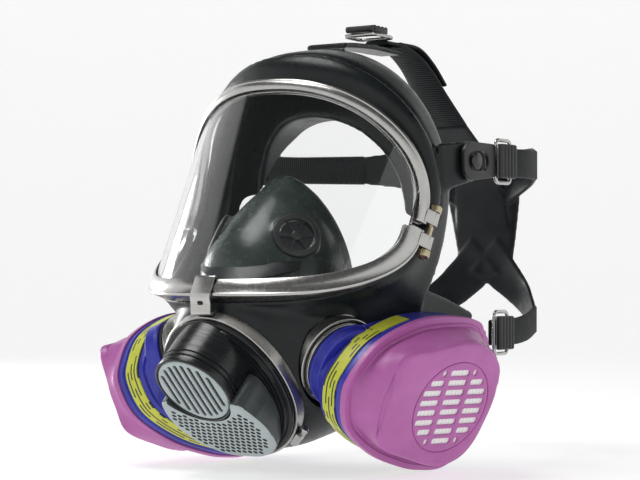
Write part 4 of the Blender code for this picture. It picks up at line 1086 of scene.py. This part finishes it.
def connectors():
    band = rounded_band(SIDE_PORT.circle, 22.4, 23.6, -3.0, 3.6)
    pair(mesh_object("side_band", band), "satin_steel", "side_clamp_band", 30)
    place = SIDE_PORT.at(9.0, -21.8, 0.3)
    outward = place - SIDE_PORT.at(0, 0, 0.3)
    worm_screw("side_worm", Frame(place, outward, SIDE_PORT.h), "side_clamp_screw", pair)
    profile = [(18.5, -8), (18.5, 4.3), (21.6, 4.3), (21.9, 4.7), (21.9, 6.0), (21.6, 6.3)]
    profile += [(18.5, 6.3), (18.5, 11.6), (18.1, 12), (16.5, 12), (16.2, 11.7), (16.2, -8)]
    parts = [turned(SIDE_PORT, profile)]
    parts += [box(SIDE_PORT.spun(a), (17.0, 20.1), (-4.5, 4.5), (10.0, 11.8)) for a in turn(3)]
    parts += spokes(SIDE_PORT, 17.1, 0.8, -7.5, -6.1)
    parts.append(turned(SIDE_PORT, [(1.6, -7.7), (3.2, -7.7), (3.2, -5.6), (1.6, -5.6)], 32))
    pair(bevelled(mesh_object("bayonet_connector", merged(*parts)), 0.2), "steel", "connector", 30)
    profile = [(1.2, -3.5), (1.2, -8.2), (8.0, -8.25), (15.4, -8.4), (15.7, -8.7), (15.4, -9.0)]
    valve = spindle(SIDE_PORT, profile + [(8.0, -8.9), (1.5, -9.6)], 64)
    pair(mesh_object("inhale_flap", valve), "white_rubber", "inhale_valve_disc")
    profile = [(18.9, 6.6), (21.5, 6.6), (21.8, 7.0), (21.8, 8.0), (21.5, 8.4), (18.9, 8.4)]
    pair(mesh_object("bayonet_gasket", turned(SIDE_PORT, profile)), "gasket", "filter_gasket")


RIM = [(47, -8), (43, 14), (30, 29), (3, 33), (-26, 31), (-55, 20), (-70, 4), (-73, -8)]
RIM += [(-65, -25), (-40, -40), (-14, -48), (4, -51), (24, -51), (38, -43), (45, -28)]
RIM_CENTRE = (-13.0, -8.0)
PLATEAU = [(31, 6), (28, 22), (14, 33), (-2, 35), (-22, 31.5), (-39, 28), (-42.5, 12)]
PLATEAU += [(-43.5, -6), (-41, -20), (-18, -29), (5, -34), (20, -27), (28, -12)]
PLATEAU_CENTRE = (-6.0, 2.0)
RIM_COUNT = 160


def rim(grow, h):
    return [FILTER.at(u, v, h) for u, v in closed_even(RIM, RIM_COUNT, grow, RIM_CENTRE)]


def rims(*stages):
    return [rim(grow, h) for grow, h in stages]


def plateau(grow, h):
    return [GRILLE.at(u, v, h) for u, v in closed_even(PLATEAU, RIM_COUNT, grow, PLATEAU_CENTRE)]


def between(first, second, share):
    return [(1 - share) * a + share * b for a, b in zip(first, second)]


def filter_body():
    neck = [(22.3, 8.7), (22.9, 9.0), (23.1, 10.4), (22.6, 11.0)]
    side = rims((-4.5, -16.5), (-3.4, -15.8), (-2.9, -14.8), (-2.1, -4.4), (-2.0, -3.8))
    side += rims((-1.2, -3.3), (-1.0, -3.0), (-1.0, -0.3))
    obj = mesh_object("filter_back", loft([SIDE_PORT.circle(r, h, RIM_COUNT) for r, h in neck] + side))
    carved(obj, disc(SIDE_PORT, 21.0, 0, 12.8))
    pair(obj, "blue", "filter_body", 28)
    profile = [(21.0, 8.8), (22.5, 8.8), (22.8, 9.2), (22.8, 16.4), (22.2, 17.0), (0.5, 17.0)]
    drum = turned(SIDE_PORT, profile + [(0.5, 12.8), (21.0, 12.8)])
    pair(mesh_object("filter_neck", drum), "blue", "filter_body", 28)


def filter_slots():
    """Rows of short slots over the round grille, cut off at its edge."""
    slots = []
    for row in range(8):
        v = (row - 3.5) * SLOT_PITCH_V
        chord = math.sqrt((GRILLE_RADIUS - SLOT_CORNER) ** 2 - (abs(v) + SLOT_HALF_WIDTH) ** 2)
        for middle in (-SLOT_PITCH_U, 0, SLOT_PITCH_U):
            low, high = max(middle - SLOT_HALF_LENGTH, -chord), min(middle + SLOT_HALF_LENGTH, chord)
            if high - low > SLOT_LEAST_LENGTH:
                outline = stadium(0.5 * (low + high), 0, 0.5 * (high - low), SLOT_CORNER)
                square = [(a, v + b * SLOT_HALF_WIDTH / SLOT_CORNER) for a, b in outline]
                slots.append(prism(GRILLE, square, -5, 5))
    return merged(*slots)


def filter_cover():
    valley = rims((-0.3, 0.0), (0.0, 0.3), (0.0, 3.0), (-0.4, 3.5), (-3.2, 3.7), (-3.9, 3.2))
    valley += rims((-4.8, 3.1), (-5.6, 3.9))
    base, top = rim(-5.5, 5.0), plateau(0, 0)
    rise = [between(valley[-1], between(base, top, 0.72), share) for share in (0.5, 0.96)]
    crest = [p + 1.3 * GRILLE.h for p in between(base, top, 0.735)]
    brow = [between(between(base, top, 0.74), plateau(0, -1.5), share) for share in (0.1, 0.9)]
    crown = [plateau(grow, h) for grow, h in ((0.1, -1.3), (-0.5, -0.5), (-1.5, -0.05), (-3.0, 0.05))]
    obj = mesh_object("filter_front", loft(valley + rise + [crest] + brow + crown))
    inner = between(rim(-7.7, 3), plateau(-2.2, -2.2), 0.72)
    carved(obj, loft(rims((-7.7, -6), (-7.7, 2.4)) + [inner, plateau(-2.4, -2.2)]))
    groove = [(-0.3, -0.6), (0.3, -0.6), (0.5, 2), (-0.5, 2)]
    carved(obj, filter_slots(), turned(GRILLE, [(GRILLE_RADIUS + r, h) for r, h in groove]))
    pair(bevelled(obj, 0.18, 2, 55), "magenta", "filter_cover", 28)
    fibre = mesh_object("filter_fibre", disc(GRILLE, GRILLE_RADIUS, -6.0, -0.9, 64))
    pair(fibre, "media", "filter_media")


def filter_label():
    """A film round the blue body, its front end cut slanting, with its run in the band attribute."""
    first, last = round(RIM_COUNT * 7 / 24), round(RIM_COUNT * 21 / 24)
    rows = rims((-2.05, -13.2), (-1.45, -5.0), (-2.3, -5.0), (-2.9, -13.2))
    stations = []
    for i in range(first, last + 1):
        lean = ease(last - 9, last, i)
        station = [row[i] for row in rows]
        for k, other in ((0, 1), (3, 2)):
            station[k] = (1 - 0.85 * lean) * station[k] + 0.85 * lean * station[other]
        stations.append(station)
    obj = mesh_object("filter_band", loft(stations))
    band = obj.data.attributes.new("band", "FLOAT_VECTOR", "POINT")
    count = len(stations)
    for i in range(count):
        for k, across in enumerate((0.0, 1.0, 1.0, 0.0)):
            band.data[4 * i + k].vector = (i / (count - 1), across, 0.0)
    pair(obj, "label", "filter_label")


# --- nose cup -------------------------------------------------------------------------


def cup_rear(t, grow):
    c, s = math.cos(t), math.sin(t)
    x = (CUP_HALF_WIDTH + grow) * c
    reach = CUP_TOP - CUP_WIDEST_Z if s > 0 else CUP_WIDEST_Z - CUP_BOTTOM
    z = CUP_WIDEST_Z + (reach + grow) * s
    return np.array([x, CUP_TOP_Y + CUP_WRAP * (x / CUP_HALF_WIDTH) ** 2, z])


CUP_PROFILE = [(0, 0), (0.12, 0.4), (0.25, 0.68), (0.42, 0.93), (0.6, 1), (0.85, 0.6), (1, 0)]


def cup_loop(share, grow, less=0.0):
    """A loop of the nose cup from the face, share 0, to the front port, share 1."""
    stages = smooth_path(CUP_PROFILE, 80)
    bulge = max(0.0, CUP_BULGE * np.interp(share, stages[:, 0], stages[:, 1]) - less)
    swell = CUP_SWELL * math.sin(math.pi * share) ** 0.8 if 0 < share < 1 else 0.0
    loop = []
    for t in turn(120):
        c, s = math.cos(t), math.sin(t)
        up = max(0.0, s)
        front = PORT.at((21 + grow) * c, -38 + (25 + grow) * s, -14)
        p = (1 - share) * cup_rear(t, grow) + share * front
        p[0] += c * (swell + 0.25 * up * bulge)
        p += bulge * up * np.array([0, -0.86, 0.5])
        loop.append(p)
    return loop


def nose_cup():
    shares = np.linspace(0, 1, 22)
    lip = [cup_loop(0.0, 1.6), cup_loop(0.03, 1.9), cup_loop(0.07, 0.6)]
    outer = loft(lip + [cup_loop(s, 0) for s in shares[2:]])
    pads = both(disc(CUP_VALVE, 13.0, -16, 0, 64))
    cup = remeshed(mesh_object("inner_cup", merged(outer, pads)), 0.9, 5)
    rear = [[p + np.array([0, 8.0, 0]) for p in cup_loop(0, -2.2)]]
    inner = rear + [cup_loop(s, -2.2 - 1.2 * ease(0, 0.1, s), 2.4) for s in shares]
    inner += [[p + PORT.h * 8 for p in cup_loop(1, -3.4)]]
    hole = disc(CUP_VALVE, 9.4, -30, 6, 48)
    pad_face = disc(CUP_VALVE, 13.4, -0.1, 9.0, 64)
    carved(cup, loft(inner), pad_face, mirrored(pad_face), hole, mirrored(hole))
    dressed(cup, "cup_rubber", "nose_cup", 50)
    profile = [(12.6, -0.1), (12.6, 1.4), (12.1, 2.0), (9.8, 2.6), (9.2, 2.3), (9.0, -0.1)]
    parts = [turned(CUP_VALVE, profile, 72)] + spokes(CUP_VALVE, 9.9, 0.7, 0.6, 1.4, 0.02)
    parts.append(spindle(CUP_VALVE, [(2.8, 0.45), (2.8, 1.7), (2.2, 2.1)], 32))
    pair(bevelled(mesh_object("cup_seat", merged(*parts)), 0.15), "satin_black", "cup_valve_seat")
    flap = spindle(CUP_VALVE, [(8.6, -0.1), (8.8, -0.3), (8.6, -0.5), (2.0, -0.8)], 48)
    pair(mesh_object("cup_flap", flap), "gasket", "cup_valve_disc")


# --- harness --------------------------------------------------------------------------

FOREHEAD_STRAP = [(0, 52, 84.0), (0, 70, 82.0), (0, 88, 73), (0, 105.6, 56.3), (0, 122, 41)]
FOREHEAD_STRAP += [(0, 140, 24), (0, 154, 4), (0, 160, -20)]
FOREHEAD_TAIL = [(0, 66, 84.0), (0, 84, 82.5), (0, 98, 74.5), (0, 110, 63.5)]
TEMPLE_STRAP = [(0, 159, 6), (22, 155.5, 12), (43, 143, 16), (61, 121, 16)]
TEMPLE_STRAP += [(71.5, 98, 15.5), (77, 76, 15), (78.6, 50, 15)]
NECK_STRAP = [(0, 160, -34), (13, 161, -46), (30, 157, -60), (49, 139, -72)]
NECK_STRAP += [(58.5, 115, -76), (63.5, 92, -78), (66.5, 66, -78)]
WAIST = [(0, 153, 22), (0, 158, 4), (0, 160.5, -20), (0, 161, -46)]

# The way each stretch of the harness faces.
BEHIND_HEAD = [(0, 1, 0), (0.5, 0.8, 0), (0.92, 0.55, 0)]
BESIDE_HEAD = [(0.9, 0.6, 0), (1, 0.3, 0), (1, 0.05, 0)]
DOWN_BACK = [(0, 0.7, 0.7), (0, 1, 0)]
OVER_HEAD = [(0, 0, 1), (0, 0.5, 0.85), (0, 0.7, 0.7)]


def ribbed(path, outward, width, end_width):
    """A strap with moulded ribs across it."""
    run = np.linalg.norm(np.diff(smooth_path(path, 40), axis=0), axis=1).sum()
    fine = smooth_path(path, round(run / RIB_PITCH * 6))
    return ribbon(fine, outward, width, STRAP_THICKNESS, end_width, RIB_HEIGHT)


def head_harness():
    web = merged(
        ribbon(smooth_path(FOREHEAD_STRAP[4:], 40), DOWN_BACK, 26, 2.6, 40),
        ribbon(smooth_path(WAIST, 30), [(0, 1, 0.2), (0, 1, 0)], 60, 2.6, 36),
        both(ribbon(smooth_path(TEMPLE_STRAP[:4], 40), BEHIND_HEAD, 34, 2.6, 17)),
        both(ribbon(smooth_path(NECK_STRAP[:4], 40), BEHIND_HEAD, 28, 2.5, 16)),
    )
    web_skin = remeshed(mesh_object("harness_web", web), 0.9, 10)
    dressed(web_skin, "strap_rubber", "head_harness", 60)
    straps = merged(
        ribbed(FOREHEAD_STRAP[:5], OVER_HEAD, 16, 26),
        both(ribbed(TEMPLE_STRAP[3:], BESIDE_HEAD, 17, 15)),
        both(ribbed(NECK_STRAP[3:], BESIDE_HEAD, 16, 14)),
        ribbed(FOREHEAD_TAIL, [(0, 0.1, 1), (0, 0.7, 0.7)], 15, 15),
    )
    dressed(mesh_object("harness_straps", straps), "strap_rubber", "head_harness", 50)


def wire_loop(local, half_u, half_v, corner, wire):
    """A closed round wire bent to a rectangle with round corners."""
    stations = []
    for cu, cv, start in ((1, 1, 0), (-1, 1, 90), (-1, -1, 180), (1, -1, 270)):
        for step in range(7):
            a = math.radians(start + 15 * step)
            ring = []
            for b in turn(14):
                reach = corner + wire * math.cos(b)
                u = cu * (half_u - corner) + reach * math.cos(a)
                v = cv * (half_v - corner) + reach * math.sin(a)
                ring.append(local.at(u, v, wire * math.sin(b)))
            stations.append(ring)
    return loft(stations, True)


def buckle(name, centre, along, outward, dress):
    """A wire loop on the lug and a clamping lever over it; u runs across the strap, v along."""
    local = Frame(centre, outward, np.cross(along, outward))
    half_u, half_v = 11.5, 8.0
    loop = mesh_object("buckle_wire_" + name, wire_loop(local, half_u, half_v, 3.0, 1.05))
    parts = [box(local, (-9.0, 9.0), (-half_v + 0.5, 5.5), (2.6, 4.2))]
    barrel = Frame(local.at(0, -half_v, 3.4), local.u, local.v)
    parts.append(spindle(barrel, [(1.4, -9.2), (1.85, -8.8), (1.85, 8.8), (1.4, 9.2)], 24))
    for v in (-5.4, -1.8, 1.8, 4.9):
        rib = Frame(local.at(0, v, 4.4), local.u, local.v)
        parts.append(spindle(rib, [(0.9, -8.9), (1.4, -8.5), (1.4, 8.5), (0.9, 8.9)], 20))
    parts += [box(local, (a, a + 1.0), (-half_v + 0.2, 5.6), (1.9, 5.0)) for a in (-9.2, 8.2)]
    lever = bevelled(mesh_object("buckle_clamp_" + name, merged(*parts)), 0.25, 2, 60)
    dress(loop, "steel", "buckle_frame_" + name, 30)
    dress(lever, "satin_black", "buckle_lever_" + name, 30)


def buckles():
    buckle("forehead", (0, 44, 86.6), (0, 1, -0.06), (0, 0.06, 1), dressed)
    buckle("temple", (81.8, 56, 15.0), (-0.08, 1, 0), (1, 0.08, 0), pair)
    buckle("neck", (69.6, 72, -78.0), (-0.12, 1, 0), (1, 0.12, 0), pair)
    tab_frame = Frame((82.0, 30, 14.4), (1, 0, 0), (0, 1, 0.04))
    outline = [(-14, -6), (-14, 6), (-9, 10.5), (14, 9), (16, 8), (16, -8), (14, -9), (-9, -10.5)]
    rounded = [tuple(p) for p in rounded_path(outline + outline[:2], 2.0)[1:-1]]
    tab = mesh_object("keyhole_plate", prism(tab_frame, rounded, 0.0, 2.4))
    hole = []
    for a in turn(48):
        u, v = math.cos(a + 0.01), math.sin(a + 0.01)
        hole.append((5.2 * u + math.copysign(3.5, u), 5.2 * v))
    carved(tab, prism(tab_frame, hole, -3, 6))
    pair(bevelled(tab, 0.4, 3, 50), "satin_black", "temple_tab")
    stud_frame = Frame((82.0, 26.0, 14.2), (1, 0, 0), (0, 1, 0))
    profile = [(3.0, 0.4), (3.0, 2.5), (4.4, 2.7), (4.65, 3.1), (4.5, 3.8), (3.6, 4.5)]
    stud = spindle(stud_frame, profile + [(2.2, 4.9), (0.6, 5.0)], 48)
    pair(mesh_object("temple_button", stud), "dark_steel", "temple_stud")


# --- floor, light and camera ----------------------------------------------------------

FLOOR_CLEARANCE = 0.001
CAMERA_TARGET = Vector((0, 0, -0.0273))
CAMERA_DISTANCE = 1.26
CAMERA_AZIMUTH = math.radians(38)
CAMERA_ELEVATION = math.radians(-0.8)
CAMERA_LENS = 130.3
CAMERA_SENSOR = 36
FLOOR_GLOW = 0.63
WORLD_LIGHT = 0.1


def floor():
    """A pale floor that curves up all round into a backdrop."""
    low = cad_box[0].z - FLOOR_CLEARANCE
    profile = [(0.0, 0.0), (0.6, 0.0), (1.4, 0.0), (2.2, 0.0)]
    profile += [(2.2 + 0.9 * math.sin(a), 0.9 * (1 - math.cos(a))) for a in np.linspace(0.15, 1.45, 10)]
    profile += [(3.2, 2.2)]
    local = Frame((0, 0, 0), (0, 0, 1), (1, 0, 0))
    loops = [local.circle(max(r, 0.001), h, 96) for r, h in profile]
    points, faces = loft(loops)
    mesh = bpy.data.meshes.new("floor")
    mesh.from_pydata([(p[0], p[1], p[2] + low) for p in points], [], faces[:-1])
    mesh.shade_smooth()
    glow = {"Specular_IOR_Level": 0.0, "Emission_Color": (1, 1, 1), "Emission_Strength": FLOOR_GLOW}
    paper = surface("floor_paper", (0.49, 0.49, 0.49), (0.51, 0.51, 0.51), (0.8, 0.9), 600, 0.02, **glow)
    mesh.materials.append(paper)
    placed("floor", mesh)


def lamp(name, place, size, watts):
    light = bpy.data.lights.new(name, "AREA")
    light.shape = "RECTANGLE"
    light.size, light.size_y = size
    light.energy = watts
    obj = placed(name, light)
    obj.location = place
    obj.rotation_euler = (CAMERA_TARGET - Vector(place)).to_track_quat("-Z", "Y").to_euler()


def studio():
    floor()
    world = bpy.data.worlds.new("studio")
    bpy.context.scene.world = world
    world.use_nodes = True
    sky = world.node_tree.nodes["Background"].inputs
    sky["Color"].default_value = (1.0, 1.0, 1.0, 1)
    sky["Strength"].default_value = WORLD_LIGHT
    lamp("key", (-1.42, 0.16, 0.08), (0.45, 0.6), 10)
    lamp("top", (-0.45, -0.45, 1.55), (0.9, 0.7), 15)
    camera = placed("camera", bpy.data.cameras.new("camera"))
    flat, rise = math.cos(CAMERA_ELEVATION), math.sin(CAMERA_ELEVATION)
    away = Vector((math.sin(CAMERA_AZIMUTH) * flat, -math.cos(CAMERA_AZIMUTH) * flat, rise))
    camera.location = CAMERA_TARGET + CAMERA_DISTANCE * away
    camera.rotation_euler = (-away).to_track_quat("-Z", "Y").to_euler()
    camera.data.lens = CAMERA_LENS
    camera.data.sensor_width = CAMERA_SENSOR
    bpy.context.scene.camera = camera
    bpy.context.scene.view_settings.view_transform = "Standard"


def main():
    face_blank()
    visor_lens()
    frame_half("upper", FRAME_WIDTH_UPPER, True)
    frame_half("lower", FRAME_WIDTH_LOWER, False)
    frame_screws()
    centre_clip()
    port_clamp()
    exhalation_housing()
    speech_grille()
    exhalation_valve()
    exhalation_shield()
    connectors()
    filter_body()
    filter_cover()
    filter_label()
    nose_cup()
    head_harness()
    buckles()
    studio()


main()
